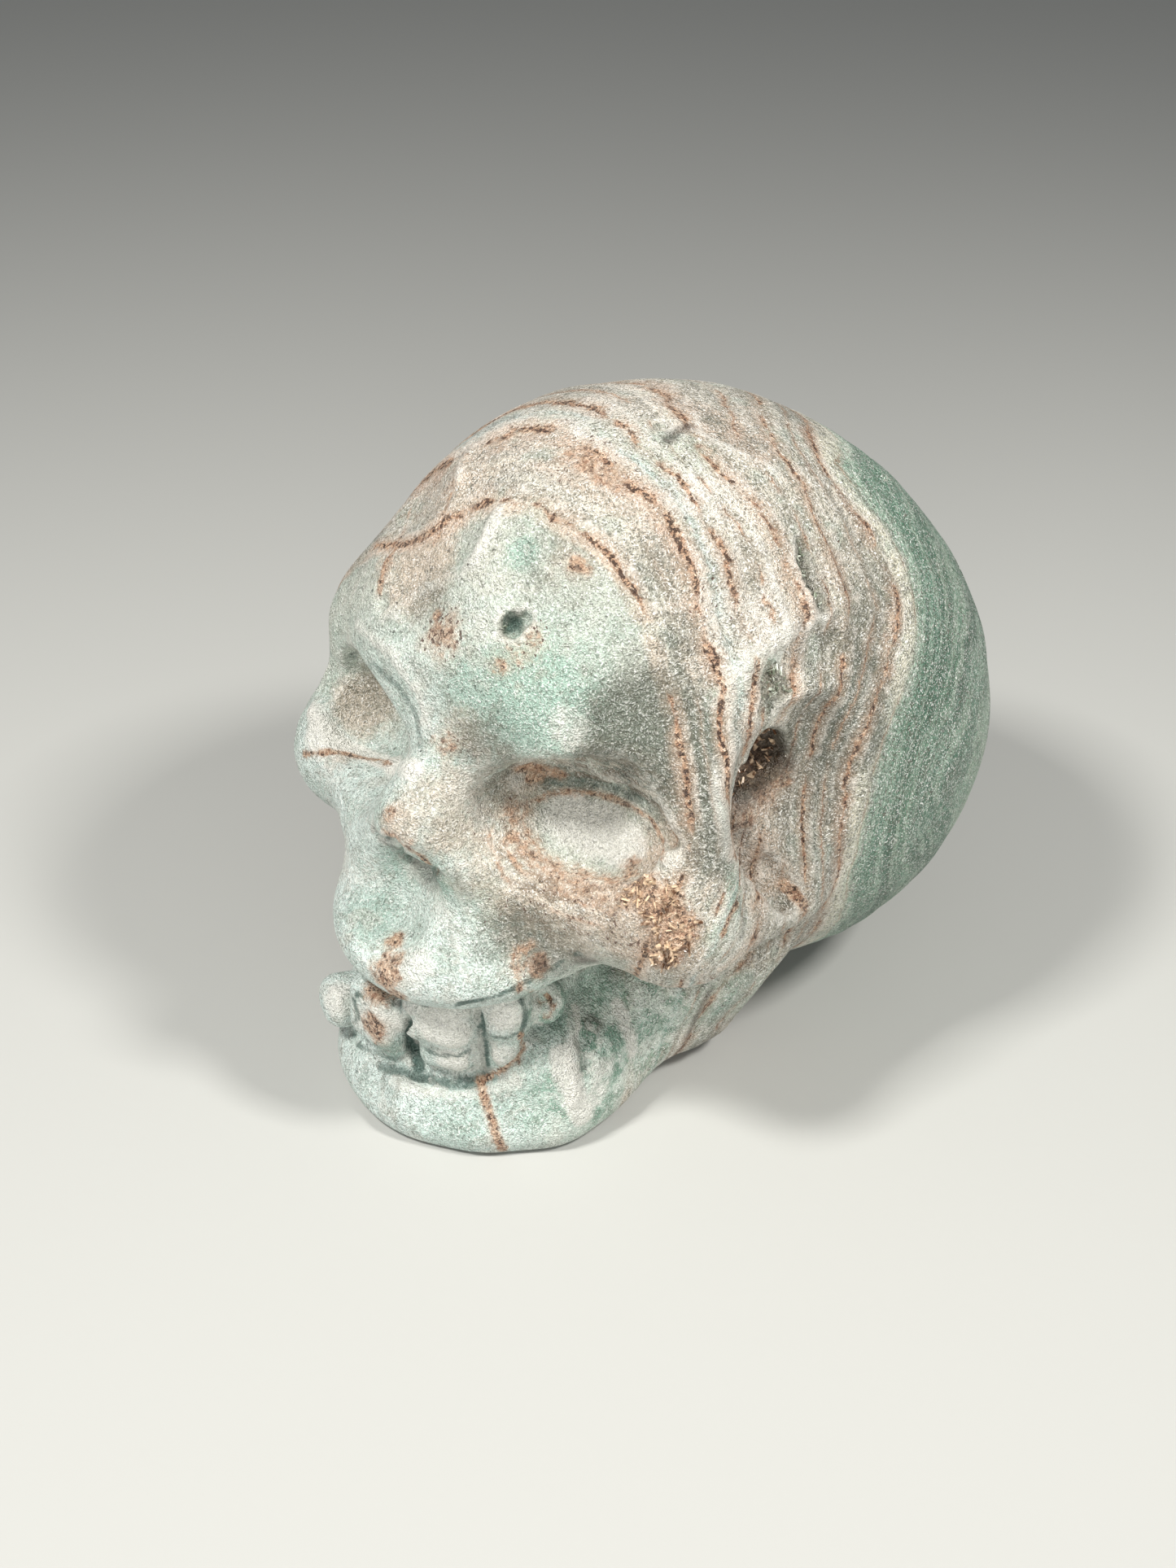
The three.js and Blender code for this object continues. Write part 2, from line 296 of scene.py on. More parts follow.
# shallow dips and flats left by the grinding wheel: point of the picture, reach, depth in mm
HOLLOWS = {
    "outer brow": ((800, 915), 13.0, 2.4),
    "far facet": ((520, 705), 11.0, 1.6),
    "far facet above": ((507, 625), 8.0, 1.2),
    "forehead facet": ((575, 610), 8.0, 0.8),
    "temple wave": ((1062, 690), 6.5, 1.0),
    "temple wave below": ((1075, 800), 7.0, 1.1),
    "side wave": ((1020, 880), 7.0, 1.0),
    "side flat": ((1130, 900), 15.0, 0.8),
    "under the eye": ((640, 1150), 9.0, 1.8),
    "beside the nose": ((575, 1110), 5.0, 0.8),
    "upper lip": ((470, 1110), 6.0, 0.8),
    "under the cheek": ((752, 1215), 8.0, 2.4),
    "jaw wave": ((800, 1280), 8.0, 0.9),
    "chin dimple": ((462, 1335), 4.0, 0.9),
    "chin side": ((640, 1375), 7.0, 0.7),
    "chin front": ((545, 1365), 7.0, 0.6),
}


centres = on_stone([v[0] for v in POCKETS.values()])
inward = -slope_of(rough_out, centres)
inward /= np.linalg.norm(inward, axis=1, keepdims=True)
dips = on_stone([v[0] for v in HOLLOWS.values()])
scoops = on_stone([v[0] for v in SCOOPS.values()])
scoop_out = slope_of(rough_out, scoops)
scoop_out /= np.linalg.norm(scoop_out, axis=1, keepdims=True)
creases = {name: on_stone(points) for name, (points, _, _) in CREASES.items()}
# the near socket ends in a shallow tilted oval bowl: middle, half size in mm, tilt and depth
OVAL_AT, OVAL_HALF, OVAL_TILT, OVAL_DEPTH = (735, 1024), (8.6, 5.2), math.radians(15), 1.3
oval_centre = on_stone([OVAL_AT])[0]
oval_long = (math.cos(OVAL_TILT) * right - math.sin(OVAL_TILT) * up) / OVAL_HALF[0]
oval_short = (math.sin(OVAL_TILT) * right + math.cos(OVAL_TILT) * up) / OVAL_HALF[1]


def around_oval(p):
    """One at the rim of the oval, growing outwards."""
    return np.hypot((p - oval_centre) @ oval_long, (p - oval_centre) @ oval_short)


print(len(POCKETS), "pockets,", len(HOLLOWS), "hollows and", len(CREASES), "creases placed")

# %% The carved surface with its details
def ripple(p):
    """Low waves that no two hand-carved sides share; the same on every run."""
    turns = np.random.default_rng(5).normal(size=(10, 3))
    turns *= (0.20 + 0.05 * np.arange(10))[:, None] / np.linalg.norm(turns, axis=1)[:, None]
    return np.sin(p @ turns.T.astype(np.float32) + np.arange(10) * 1.7).sum(1) / 10


def fade(at, centre, inner, outer):
    """One near the centre, falling softly to zero."""
    gap = np.linalg.norm(at - np.asarray(centre), axis=1)
    t = np.clip((outer - gap) / (outer - inner), 0, 1)
    return t * t * (3 - 2 * t)


def near_box(p, points, reach):
    low, high = points.min(0) - reach, points.max(0) + reach
    return ((p > low) & (p < high)).all(1)


def carving(p):
    d = rough_out(p) - 0.35 * ripple(p)
    for (_, reach, depth), at in zip(HOLLOWS.values(), dips):
        near = near_box(p, at[None], reach)
        if near.any():
            d[near] += depth * fade(p[near], at, 0.15 * reach, reach)
    near = near_box(p, oval_centre[None], 10)
    if near.any():
        bowl = np.sqrt(np.clip(1.1 - around_oval(p[near]) ** 2, 0, 1))
        d[near] += OVAL_DEPTH * bowl * fade(p[near], oval_centre, 9, 10)
    for (_, radius, depth), at, out in zip(SCOOPS.values(), scoops, scoop_out):
        middle = at + out * (radius - depth)
        d = carve(d, np.linalg.norm(p - middle.astype(np.float32), axis=1) - radius, 0.6)
    for (_, radius, depth), at, into in zip(POCKETS.values(), centres, inward):
        reach = near_box(p, at[None], radius + 3)
        if reach.any():
            q = p[reach]
            jag = radius * (0.35 * ripple(q * np.float32(6 / radius))
                            + 0.20 * ripple(q * np.float32(15 / radius)))
            far_in = at + into * (depth - radius)
            d[reach] = carve(d[reach], rod(q, far_in - 4 * into, far_in, (radius, radius)) + jag,
                             0.35)
    for name, (_, radii, soft) in CREASES.items():
        line = creases[name]
        radius = np.linspace(*radii, len(line))
        reach = near_box(p, line, radius.max() + soft + 2)
        if reach.any():
            q = p[reach]
            gap = np.min([rod(q, line[i], line[i + 1], radius[i:i + 2])
                          for i in range(len(line) - 1)], axis=0)
            d[reach] = carve(d[reach], gap + 0.5 * radius.mean() * ripple(q * np.float32(4)), soft)
    return carve(d, p[:, 2], 0.8)


# %% [markdown]
# ## The skin
# The distance is sampled on a grid, finest on the face. Every grid cell that the surface
# crosses gets one point, and every grid edge that it crosses joins four of them into a face.
# The points then slide onto the exact surface. This keeps one closed skin, which a remesh of
# joined balls would also give, but with control over where the small cells lie.

# %% Grid lines and the skin
FINE = 0.58
ACROSS = FINE * 1.06
COARSE = FINE * 1.75


def lines(start, even_until, end, step):
    out = [start]
    while out[-1] < end:
        if out[-1] > even_until:
            step = min(step * 1.03, COARSE)
        out.append(out[-1] + step)
    return np.array(out)


half_x = np.arange(0, 41, ACROSS)
grid = (np.concatenate([-half_x[:0:-1], half_x]), lines(-50.5, -6, 57, FINE),
        lines(-1.5, 58, 86, FINE))


def sample(field, grid):
    shape = [len(g) for g in grid]
    out = np.empty(shape, np.float32)
    flat = np.stack(np.meshgrid(grid[1], grid[2], indexing="ij"), -1).reshape(-1, 2)
    for i, x in enumerate(grid[0]):
        p = np.column_stack([np.full(len(flat), x), flat]).astype(np.float32)
        out[i] = field(p).reshape(shape[1:])
    return out


def fill_crossings(values):
    """Where solid meets solid only across the diagonal of a grid face, the nearer gap is filled."""
    low, high = slice(None, -1), slice(1, None)
    found = 1
    while found:
        found = 0
        for axes in ((0, 1), (0, 2), (1, 2)):
            corners = []
            for ends in ((low, low), (low, high), (high, high), (high, low)):
                where = [slice(None)] * 3
                where[axes[0]], where[axes[1]] = ends
                corners.append(values[tuple(where)])
            solid = [c < 0 for c in corners]
            crossing = (solid[0] == solid[2]) & (solid[1] == solid[3]) & (solid[0] != solid[1])
            for at in map(tuple, np.argwhere(crossing)):
                gaps = [c for c, s in zip(corners, solid) if not s[at]]
                min(gaps, key=lambda c: c[at])[at] = -0.001
                found += 1
    return values


def skin(values, grid):
    inside = values < 0
    cells = [slice(None, -1), slice(1, None)]
    corner = [(a, b, c) for c in (0, 1) for b in (0, 1) for a in (0, 1)]
    count = sum(inside[cells[a], cells[b], cells[c]].astype(np.int8) for a, b, c in corner)
    crossed = (count > 0) & (count < 8)
    at = np.argwhere(crossed)
    number = np.full(crossed.shape, -1, np.int32)
    number[crossed] = np.arange(len(at))
    total, hits = np.zeros((len(at), 3)), np.zeros(len(at))
    for one in corner:
        for axis in range(3):
            if one[axis]:
                continue
            a, b = at + one, at + one
            b = b.copy(); b[:, axis] += 1
            fa, fb = values[tuple(a.T)], values[tuple(b.T)]
            cut = (fa < 0) != (fb < 0)
            t = (fa / np.where(cut, fa - fb, 1))[:, None]
            pa = np.stack([grid[k][a[:, k]] for k in range(3)], 1)
            pb = np.stack([grid[k][b[:, k]] for k in range(3)], 1)
            total += np.where(cut[:, None], pa * (1 - t) + pb * t, 0)
            hits += cut
    faces = []
    for axis in range(3):
        u, v = (axis + 1) % 3, (axis + 2) % 3
        low = [slice(1, -1)] * 3; high = [slice(1, -1)] * 3
        low[axis], high[axis] = slice(0, -1), slice(1, None)
        a, b = inside[tuple(low)], inside[tuple(high)]
        at_edge = np.argwhere(a != b)
        first = a[tuple(at_edge.T)]
        node = at_edge + 1
        node[:, axis] -= 1
        ring = []
        for du, dv in ((0, 0), (1, 0), (1, 1), (0, 1)):
            cell = node.copy(); cell[:, u] -= du; cell[:, v] -= dv
            ring.append(number[tuple(cell.T)])
        ring = np.stack(ring, 1)
        ring[~first] = ring[~first][:, ::-1]
        faces.append(ring)
    return (total / hits[:, None]).astype(np.float32), np.concatenate(faces)


points, faces = skin(fill_crossings(sample(carving, grid)), grid)
points = settle(carving, points, 2)
points[:, 2] = np.maximum(points[:, 2], 0)
print("skin:", len(points), "points,", 2 * len(faces), "triangles")

# %% [markdown]
# ## Layers of growth
# The stone grew in layers, which the carving cuts as curved bands. One number says how far
# out in the layers a point lies: it is zero on the innermost brown vein of the forehead and
# grows towards the back of the head. It is known along the veins, and a smooth curve through
# space fills in the rest, so the bands also run on over the sides that a picture can't show.

# %% Veins traced on the stone
# each one: how far out in the layers, then points of the picture
VEINS = (
    (0, ((487, 663), (519, 649), (554, 617), (599, 606), (643, 622), (688, 642), (739, 673),
         (764, 708), (795, 750), (806, 790), (812, 830), (836, 856), (847, 893), (856, 940),
         (856, 1010), (850, 1060), (822, 1110), (800, 1150))),
    (6, ((573, 563), (605, 542), (656, 524), (701, 542), (733, 558), (777, 599), (819, 630),
         (835, 668), (850, 698), (856, 740), (868, 795), (888, 845), (880, 905), (893, 979),
         (900, 1040), (905, 1081), (885, 1112), (869, 1170))),
    (9, ((640, 500), (760, 520), (840, 590), (874, 651), (892, 686), (900, 745), (918, 774),
         (932, 804))),
    (13.5, ((855, 550), (900, 598), (935, 625), (956, 655), (970, 704), (985, 739), (1000, 762),
            (985, 800), (982, 850))),
    (13, ((920, 1106), (931, 1138), (920, 1173), (882, 1191), (864, 1232), (844, 1275),
          (829, 1309))),
    (20, ((960, 560), (985, 592), (1000, 640), (1025, 680), (1040, 720), (1045, 760),
          (1041, 798), (1015, 880))),
    (25, ((1006, 557), (1038, 610), (1073, 651), (1090, 690), (1103, 730), (1107, 770),
          (1097, 821), (1083, 854), (1050, 930), (1040, 980), (1030, 1030), (1034, 1065))),
    (29, ((1025, 569), (1065, 620), (1100, 670), (1120, 719), (1127, 763), (1125, 821),
          (1103, 880), (1078, 953), (1060, 1017), (1045, 1070))),
    (42, ((1205, 765), (1195, 840), (1165, 920), (1130, 1000))),
    (-7, ((600, 720), (700, 730), (640, 850), (760, 850), (700, 1010), (640, 1090))),
    (-14, ((545, 915), (470, 1010), (450, 870), (520, 1100), (585, 1180), (700, 1280))),
    (-20, ((440, 1180), (540, 1270), (450, 1340), (560, 1400), (390, 910))),
)
# sides that the picture can't show: place in mm and how far out
FAR_SIDES = (((0, 54, 40), 58), ((-36, 8, 48), 24), ((-33, -8, 34), 12), ((-33, 30, 30), 44),
             ((33, 30, 30), 44), ((0, 35, 10), 50), ((-31, -22, 46), 3), ((-19, -20, 8), -6),
             ((0, 20, 82), 18), ((0, 45, 66), 44), ((0, -20, 1), -12))

traced = [on_stone(line) for _, line in VEINS]
known_at = np.concatenate(traced + [np.array([v[0] for v in FAR_SIDES])]).astype(float)
known = np.concatenate([np.full(len(t), v[0]) for v, t in zip(VEINS, traced)]
                       + [np.array([v[1] for v in FAR_SIDES])]).astype(float)


def fit_layers(at, value, looseness=0.6):
    n = len(at)
    reach = np.linalg.norm(at[:, None] - at[None], axis=2) - looseness * np.eye(n)
    flat = np.column_stack([np.ones(n), at])
    system = np.block([[reach, flat], [flat.T, np.zeros((4, 4))]])
    return np.linalg.solve(system, np.concatenate([value, np.zeros(4)]))


weights = fit_layers(known_at, known)


def layers(p):
    out = np.empty(len(p))
    for i in range(0, len(p), 20000):
        q = p[i:i + 20000].astype(float)
        reach = np.linalg.norm(q[:, None] - known_at[None], axis=2)
        out[i:i + 20000] = reach @ weights[:-4] + weights[-4] + q @ weights[-3:]
    return out


layer = layers(points)
print("layers run from", layer.min().round(1), "to", layer.max().round(1))

# %% [markdown]
# ## Steps between the layers
# Some layers are harder and were left standing when the stone was polished. On the temple the
# cream layers stand out as low steps. The points move in or out along the surface by that
# height.

# %% Low relief of the layers
VEIN_GROOVES = (0, 6, 9, 13.5, 17.2, 20, 25)
normals = slope_of(carving, points)
normals /= np.linalg.norm(normals, axis=1, keepdims=True)
stepped = np.maximum(fade(points, on_stone([(940, 745)])[0], 5, 14),
                     0.6 * fade(points, on_stone([(1030, 700)])[0], 6, 15))
# narrow crests that the polishing left: points of the picture, half width and height in mm
CRESTS = (
    (((1014, 760), (985, 776), (960, 790), (930, 808), (906, 832), (890, 862)), 1.3, 0.8),
    (((880, 900), (878, 940), (884, 985), (893, 1030), (903, 1062)), 1.0, 0.5),
    (((634, 962), (655, 936), (700, 944), (745, 958), (785, 975), (818, 1010), (826, 1055)), 1.2, 0.5),
    (((651, 1010), (672, 1045), (712, 1072), (760, 1084), (800, 1080)), 0.9, 0.35),
    (((982, 668), (984, 690), (988, 715), (998, 735)), 0.8, 0.45),
    (((700, 1238), (702, 1275), (700, 1310), (708, 1350)), 0.8, 0.5),
    (((560, 1100), (556, 1140), (560, 1180), (572, 1200)), 0.8, 0.4),
    (((480, 1330), (516, 1340), (555, 1346), (590, 1343), (630, 1330)), 1.1, 0.4),
    (((440, 770), (480, 800), (515, 850), (525, 890)), 0.9, 0.4),
    (((840, 522), (885, 545), (920, 562), (950, 578)), 0.9, 0.3),
    (((612, 628), (600, 655), (582, 684), (556, 708), (526, 722), (500, 738), (480, 752)), 1.0, 0.7),
    (((573, 558), (558, 600), (545, 640), (535, 670)), 0.8, 0.4),
    (((385, 872), (410, 900), (445, 924), (480, 938), (508, 948)), 1.2, 0.7),
)
crest = np.zeros(len(points))
for traced_line, wide, high in CRESTS:
    at = on_stone(traced_line)
    gap = np.min([rod(points, a, b, (0, 0)) for a, b in zip(at, at[1:])], axis=0)
    crest = np.maximum(crest, high * np.exp(-(gap / wide) ** 2))
steps = 0.34 * np.sin(layer * 2 * math.pi / 2.7) + 0.14 * np.sin(layer * 2 * math.pi / 1.15)
to_vein = np.min([np.abs(layer - at) for at in VEIN_GROOVES], axis=0)
groove = np.clip(1 - to_vein / 0.9, 0, 1) ** 2 * (0.6 + 0.4 * np.sin(3 * ripple(points) + layer))
off_foot = np.clip((points[:, 2] - 1) / 3, 0, 1)
lift = (crest + steps * stepped - groove * (0.20 + 0.25 * stepped) + 0.05 * np.sin(layer * 2.1)) * off_foot
points += (normals * lift[:, None]).astype(np.float32)
print("relief in mm:", lift.min().round(2), "to", lift.max().round(2))

# %% [markdown]
# ## Worn edges and painted shade in the hollows
# Polishing bruises the edges white. The hollows are painted a darker grey-green, as shade. Both follow
# the shape, so they are measured from it: a step outwards from a hollow meets stone too soon, and a
# step inwards from an edge comes out too soon.

# %% Edges and hollows measured
def crowding(step, side):
    met = carving((points + normals * np.float32(side * step)).astype(np.float32)) * side
    return np.clip(1 - met / step, 0, 1)


# painted shade: how closely the stone closes in round each point
hollow_shade = np.maximum(crowding(1.0, 1), 0.8 * crowding(2.6, 1))
worn = crowding(0.9, -1)
print("hollowed:", hollow_shade.mean().round(3), "worn:", worn.mean().round(3))

# %% [markdown]
# ## What the finish needs to know
# Colour changes that follow a place, such as a rusty patch, can't come from noise alone. They
# are stored on the points as soft masks: rust, blue-green, white, grey with painted shade, painted
# shadow lines and open crystal. Each is a handful of places with a reach in mm.

# %% Masks stored on the points
RUSTY = (((544, 780), 2.6, 0.70), ((631, 805), 2.0, 0.4), ((612, 818), 1.4, 0.6),
         ((655, 785), 1.4, 0.6), ((700, 560), 1.6, 0.7), ((722, 568), 2.0, 0.9),
         ((745, 585), 2.0, 0.8), ((765, 600), 1.5, 0.7), ((690, 545), 1.2, 0.5),
         ((708, 692), 1.2, 0.8), ((720, 702), 0.8, 0.7), ((790, 1090), 2.4, 0.9),
         ((815, 1115), 3.0, 1.0), ((830, 1145), 3.0, 1.0), ((815, 1175), 2.4, 0.9),
         ((775, 1070), 2.0, 0.8), ((700, 1075), 1.8, 0.6), ((735, 1085), 1.8, 0.6),
         ((655, 1050), 1.6, 0.5), ((662, 1186), 1.6, 0.9), ((485, 1158), 1.6, 0.9), ((480, 1180), 1.9, 0.9),
         ((473, 1200), 2.2, 1.0), ((465, 1218), 2.2, 1.0), ((488, 1224), 1.6, 0.9),
         ((458, 1262), 2.2, 0.9), ((466, 1276), 1.6, 0.7), ((545, 912), 1.8, 0.6), ((930, 950), 4.5, 0.8),
         ((915, 1000), 2.5, 0.7), ((537, 756), 0.8, 1.0), ((655, 955), 1.4, 0.8),
         ((480, 1000), 1.2, 0.5), ((500, 1035), 1.2, 0.6))
# traced brown lines that do not follow the layers: points and half width in mm
RUSTY_LINES = ((((590, 1326), (594, 1346), (601, 1366), (607, 1388), (618, 1412)), 0.6, 1.0),
               (((470, 1022), (484, 1026), (504, 1044), (522, 1056), (537, 1070)), 0.4, 0.9),
               (((637, 1000), (640, 1025), (655, 1050), (680, 1066), (712, 1078), (755, 1088),
                 (790, 1092)), 1.6, 0.62),
               (((690, 1092), (730, 1106), (770, 1112)), 1.0, 0.5),
               (((636, 944), (650, 940), (668, 946), (690, 952)), 0.6, 1.0),
               (((655, 985), (680, 975), (712, 973), (745, 979), (775, 990), (800, 1008),
                 (812, 1030), (815, 1055)), 0.45, 0.85),
               (((372, 927), (400, 925), (425, 926), (470, 936), (510, 942)), 0.4, 1.0),
               (((962, 1085), (978, 1100), (988, 1114)), 0.7, 1.0),
               (((888, 1150), (896, 1128), (906, 1112)), 0.4, 0.9),
               (((637, 1306), (644, 1285), (640, 1272)), 0.35, 0.9),
               (((598, 1325), (620, 1312), (645, 1290)), 0.35, 0.9),
               (((652, 1218), (662, 1230), (672, 1252)), 0.35, 0.8),
               (((672, 1222), (680, 1238), (674, 1252)), 0.35, 0.8),
               (((640, 1215), (632, 1190), (634, 1168), (655, 1158)), 0.6, 0.7),
               (((466, 727), (470, 700), (487, 672)), 0.5, 0.9),
               (((573, 560), (556, 602), (543, 640), (534, 668)), 0.4, 0.7),
               (((522, 585), (500, 640), (480, 690), (468, 727)), 0.35, 0.6),
               (((640, 1010), (618, 1035), (640, 1070), (690, 1100), (750, 1122)), 0.3, 0.7),
               (((622, 990), (600, 1030), (620, 1080), (680, 1120), (740, 1140)), 0.3, 0.6))
# painted shadow lines: under the lip, between the teeth, under the brow and at the nose
CREASE_SHADOWS = ((((438, 1223), (490, 1234), (566, 1233), (628, 1217), (680, 1190), (713, 1172)), 0.42, 1.0),
         (((502, 1254), (507, 1276), (515, 1312)), 0.8, 1.0),
         (((590, 1243), (593, 1275), (598, 1320)), 0.6, 1.0),
         (((524, 1290), (540, 1297), (565, 1297), (586, 1287)), 0.4, 0.75),
         (((600, 1272), (620, 1276), (644, 1264)), 0.4, 0.7),
         (((440, 1284), (468, 1296), (496, 1300)), 0.45, 0.7),
         (((470, 1310), (516, 1326), (550, 1332), (583, 1330), (622, 1320)), 0.9, 0.75),
         (((640, 1228), (646, 1250), (642, 1270)), 0.45, 0.9),
         (((434, 1228), (440, 1250), (434, 1272)), 0.5, 0.8),
         (((650, 962), (700, 962), (745, 966), (785, 982), (812, 1004)), 0.9, 0.6),
         (((557, 1105), (553, 1140), (560, 1180), (574, 1196)), 0.4, 0.6),
         (((622, 769), (634, 767)), 1.0, 0.9),
         (((405, 800), (434, 806), (462, 818), (490, 845), (510, 880), (516, 915)), 0.7, 0.6))
# pale edges and aqua bands that run across the layers
WHITE_LINES = ((((612, 628), (600, 655), (582, 684), (556, 708), (526, 722), (500, 738),
                 (480, 752)), 0.9, 0.35),
               (((840, 522), (885, 545), (920, 562), (950, 578)), 0.7, 0.45),
               (((706, 1238), (709, 1262), (711, 1290)), 0.6, 0.8),
               (((690, 1300), (698, 1322), (708, 1348), (717, 1372)), 1.5, 0.9),
               (((758, 1236), (768, 1262), (778, 1292)), 1.0, 0.75),
               (((745, 1310), (738, 1330), (730, 1352)), 1.6, 0.6),
               (((385, 876), (410, 903), (445, 926), (480, 939), (508, 948)), 1.2, 0.9),
               (((1014, 757), (985, 770), (960, 783), (930, 800), (905, 825)), 0.9, 0.4),
               (((500, 1240), (545, 1246), (600, 1240), (640, 1232)), 1.2, 0.6),
               (((450, 1232), (440, 1250), (470, 1280)), 1.2, 0.5))
AQUA_LINES = ((((945, 806), (905, 835), (883, 863), (874, 914), (884, 960), (893, 1010), (900, 1060),
                (905, 1108)), 1.6, 0.8),
              (((1120, 1000), (1150, 940), (1175, 860)), 1.0, 0.4))
BLUEISH = (((645, 855), 7.5, 1.0), ((590, 850), 6, 0.75), ((700, 885), 6.5, 0.9), ((760, 905), 4, 0.6),
           ((720, 820), 5, 0.5), ((500, 1060), 4, 0.7), ((643, 682), 2.4, 0.9),
           ((530, 1070), 4.5, 0.8), ((600, 1110), 4, 0.5), ((460, 1130), 5, 0.6),
           ((560, 1380), 6, 0.5), ((640, 1350), 6, 0.5),
           ((480, 1290), 3, 0.7), ((830, 560), 6, 0.5), ((770, 530), 5, 0.4),
           ((950, 1230), 6, 0.6), ((430, 770), 3, 0.3), ((620, 1300), 4, 0.5), ((800, 1260), 5, 0.7), ((870, 1240), 5, 0.6),
           # the places under the cheek bone at (760, 1205) and (725, 1200) are painted shade: the shadow there
           # tinted blue-green
           ((760, 1205), 4.5, 1.0), ((725, 1200), 3.5, 0.8), ((798, 1280), 3.0, 1.0))
# dark brown in the cavern, pits and cracks: partly iron stain, partly painted shade where they sink deep or lie
# under the cheek
DARK_STAIN_AND_SHADE = (((943, 925), 3.4, 1.0), ((922, 958), 2.6, 1.0), ((912, 985), 2.0, 0.8), ((953, 903), 2.0, 0.6),
         ((912, 1020), 1.8, 0.6), ((925, 1050), 2.4, 0.45), ((722, 1182), 1.6, 0.7), ((663, 1186), 1.2, 0.8),
         ((755, 1190), 2.2, 0.5))
# single brown grains strewn over the face
DOTTED = (((545, 778), 3.6, 1.0), ((640, 800), 3.2, 0.65), ((655, 775), 2.0, 0.6), ((600, 1000), 6, 0.40),
          ((650, 1110), 6, 0.45), ((700, 1120), 6, 0.55), ((760, 1130), 6, 0.7), ((600, 940), 4, 0.35),
          ((700, 690), 3, 0.5), ((520, 650), 5, 0.45), ((565, 930), 3, 0.5), ((720, 560), 5, 0.6),
          ((780, 610), 4, 0.5), ((470, 1190), 3, 0.6), ((640, 1190), 3, 0.4), ((930, 1080), 4, 0.4),
          ((1010, 700), 6, 0.35), ((880, 740), 5, 0.35))
# dark brown lines along cracks and under the nose: partly stain, partly painted shadow
DARK_STAIN_AND_SHADE_LINES = ((((820, 541), (834, 531), (847, 523)), 0.6, 1.0),
               (((1000, 720), (988, 700), (984, 672)), 0.4, 0.5),
               (((873, 1217), (862, 1236), (851, 1260), (840, 1284), (827, 1311)), 0.35, 0.75),
               (((822, 492), (850, 504), (885, 521), (918, 541), (945, 560)), 1.5, 0.20),
               (((460, 1020), (478, 1038), (500, 1052), (520, 1062), (537, 1076)), 0.6, 0.6),
               (((906, 1106), (914, 1125), (912, 1150)), 0.5, 0.6))
WHITE = (((740, 1020), 3.6, 1.0), ((700, 1005), 3.4, 0.9), ((770, 1040), 3.0, 1.0),
         ((540, 1262), 3.6, 0.95), ((560, 1276), 2.6, 0.9),
         ((470, 1258), 3.0, 0.7), ((620, 1250), 2.6, 0.85), ((555, 1305), 2.4, 0.8), ((620, 1298), 2.2, 0.7),
         ((415, 1228), 2.8, 0.7), ((945, 755), 4.0, 0.45), ((700, 1320), 2.0, 0.8),
         ((395, 905), 3.2, 0.9), ((700, 895), 3.0, 0.5),
         ((505, 1190), 4, 0.5), ((705, 1285), 1.6, 0.7), ((850, 600), 4, 0.5))
# glassy grey of the clear stone; the same grey is painted shade under the brow and the cheek, on the side of the
# head and on the far side
GREY_AND_SHADE = (((800, 915), 9, 1.0), ((850, 930), 7, 0.9), ((760, 925), 6, 0.8), ((780, 850), 5, 0.5),
        ((1062, 840), 5, 0.9), ((1020, 860), 4, 0.7), ((985, 900), 4, 0.6), ((1040, 800), 4, 0.6), ((600, 925), 5, 0.55),
        ((820, 870), 5, 0.6), ((530, 740), 4, 0.5), ((700, 960), 4.5, 0.6), ((830, 1010), 4, 0.6),
        ((560, 1160), 3, 0.3), ((680, 1165), 5, 0.5), ((470, 850), 5, 0.4), ((1040, 900), 6, 0.95), ((880, 1040), 4.5, 0.75), ((680, 700), 5, 0.40),
        ((727, 1258), 1.6, 0.9), ((905, 700), 4, 0.4), ((1085, 720), 4, 0.5), ((700, 480), 7, 0.5), ((960, 500), 7, 0.5),
        ((440, 660), 5, 0.4),
        ((645, 1145), 5, 0.65), ((840, 780), 3.5, 0.5), ((600, 1165), 3, 0.4), ((560, 1000), 4, 0.3), ((800, 700), 4.5, 0.45),
        ((1010, 950), 8, 0.5), ((1000, 1060), 6, 0.4),
        ((1060, 740), 4.5, 0.5), ((980, 660), 4, 0.4), ((877, 516), 2.0, 0.5),
        ((925, 545), 2.0, 0.5), ((620, 960), 4, 0.5))


BEIGE = (((450, 865), 5, 0.8), ((560, 1015), 5, 0.6), ((520, 985), 4, 0.6), ((490, 1010), 3, 0.8),
         ((610, 1010), 5, 0.5), ((930, 1040), 3.5, 0.9), ((955, 1075), 3.0, 0.9), ((600, 1050), 6, 0.55), ((620, 980), 5, 0.5), ((560, 975), 4, 0.6), ((650, 1105), 5, 0.7),
         ((720, 1115), 5, 0.8), ((765, 1140), 5, 0.9), ((700, 1150), 5, 0.6), ((570, 900), 4, 0.5),
         ((420, 925), 3, 0.6), ((520, 700), 6, 1.0), ((565, 615), 6, 0.6), ((480, 690), 4, 0.6),
         ((850, 505), 4.0, 0.7), ((885, 525), 4.0, 1.0), ((925, 550), 3.5, 1.0), ((640, 955), 4, 0.6),
         ((840, 1180), 4, 0.5), ((870, 950), 3, 0.5), ((930, 1010), 4, 0.5), ((490, 1000), 3, 0.5))
# where the veins fade out: the jaw, the teeth and the lit side of the face
CALM = (((800, 1260), 9, 0.9), ((750, 1300), 7, 1.0), ((720, 1340), 7, 1.0), ((690, 1230), 6, 1.0),
        ((900, 1130), 4, 0.5), ((870, 1225), 5, 0.6), ((820, 1330), 5, 0.7), ((770, 1240), 6, 0.9))


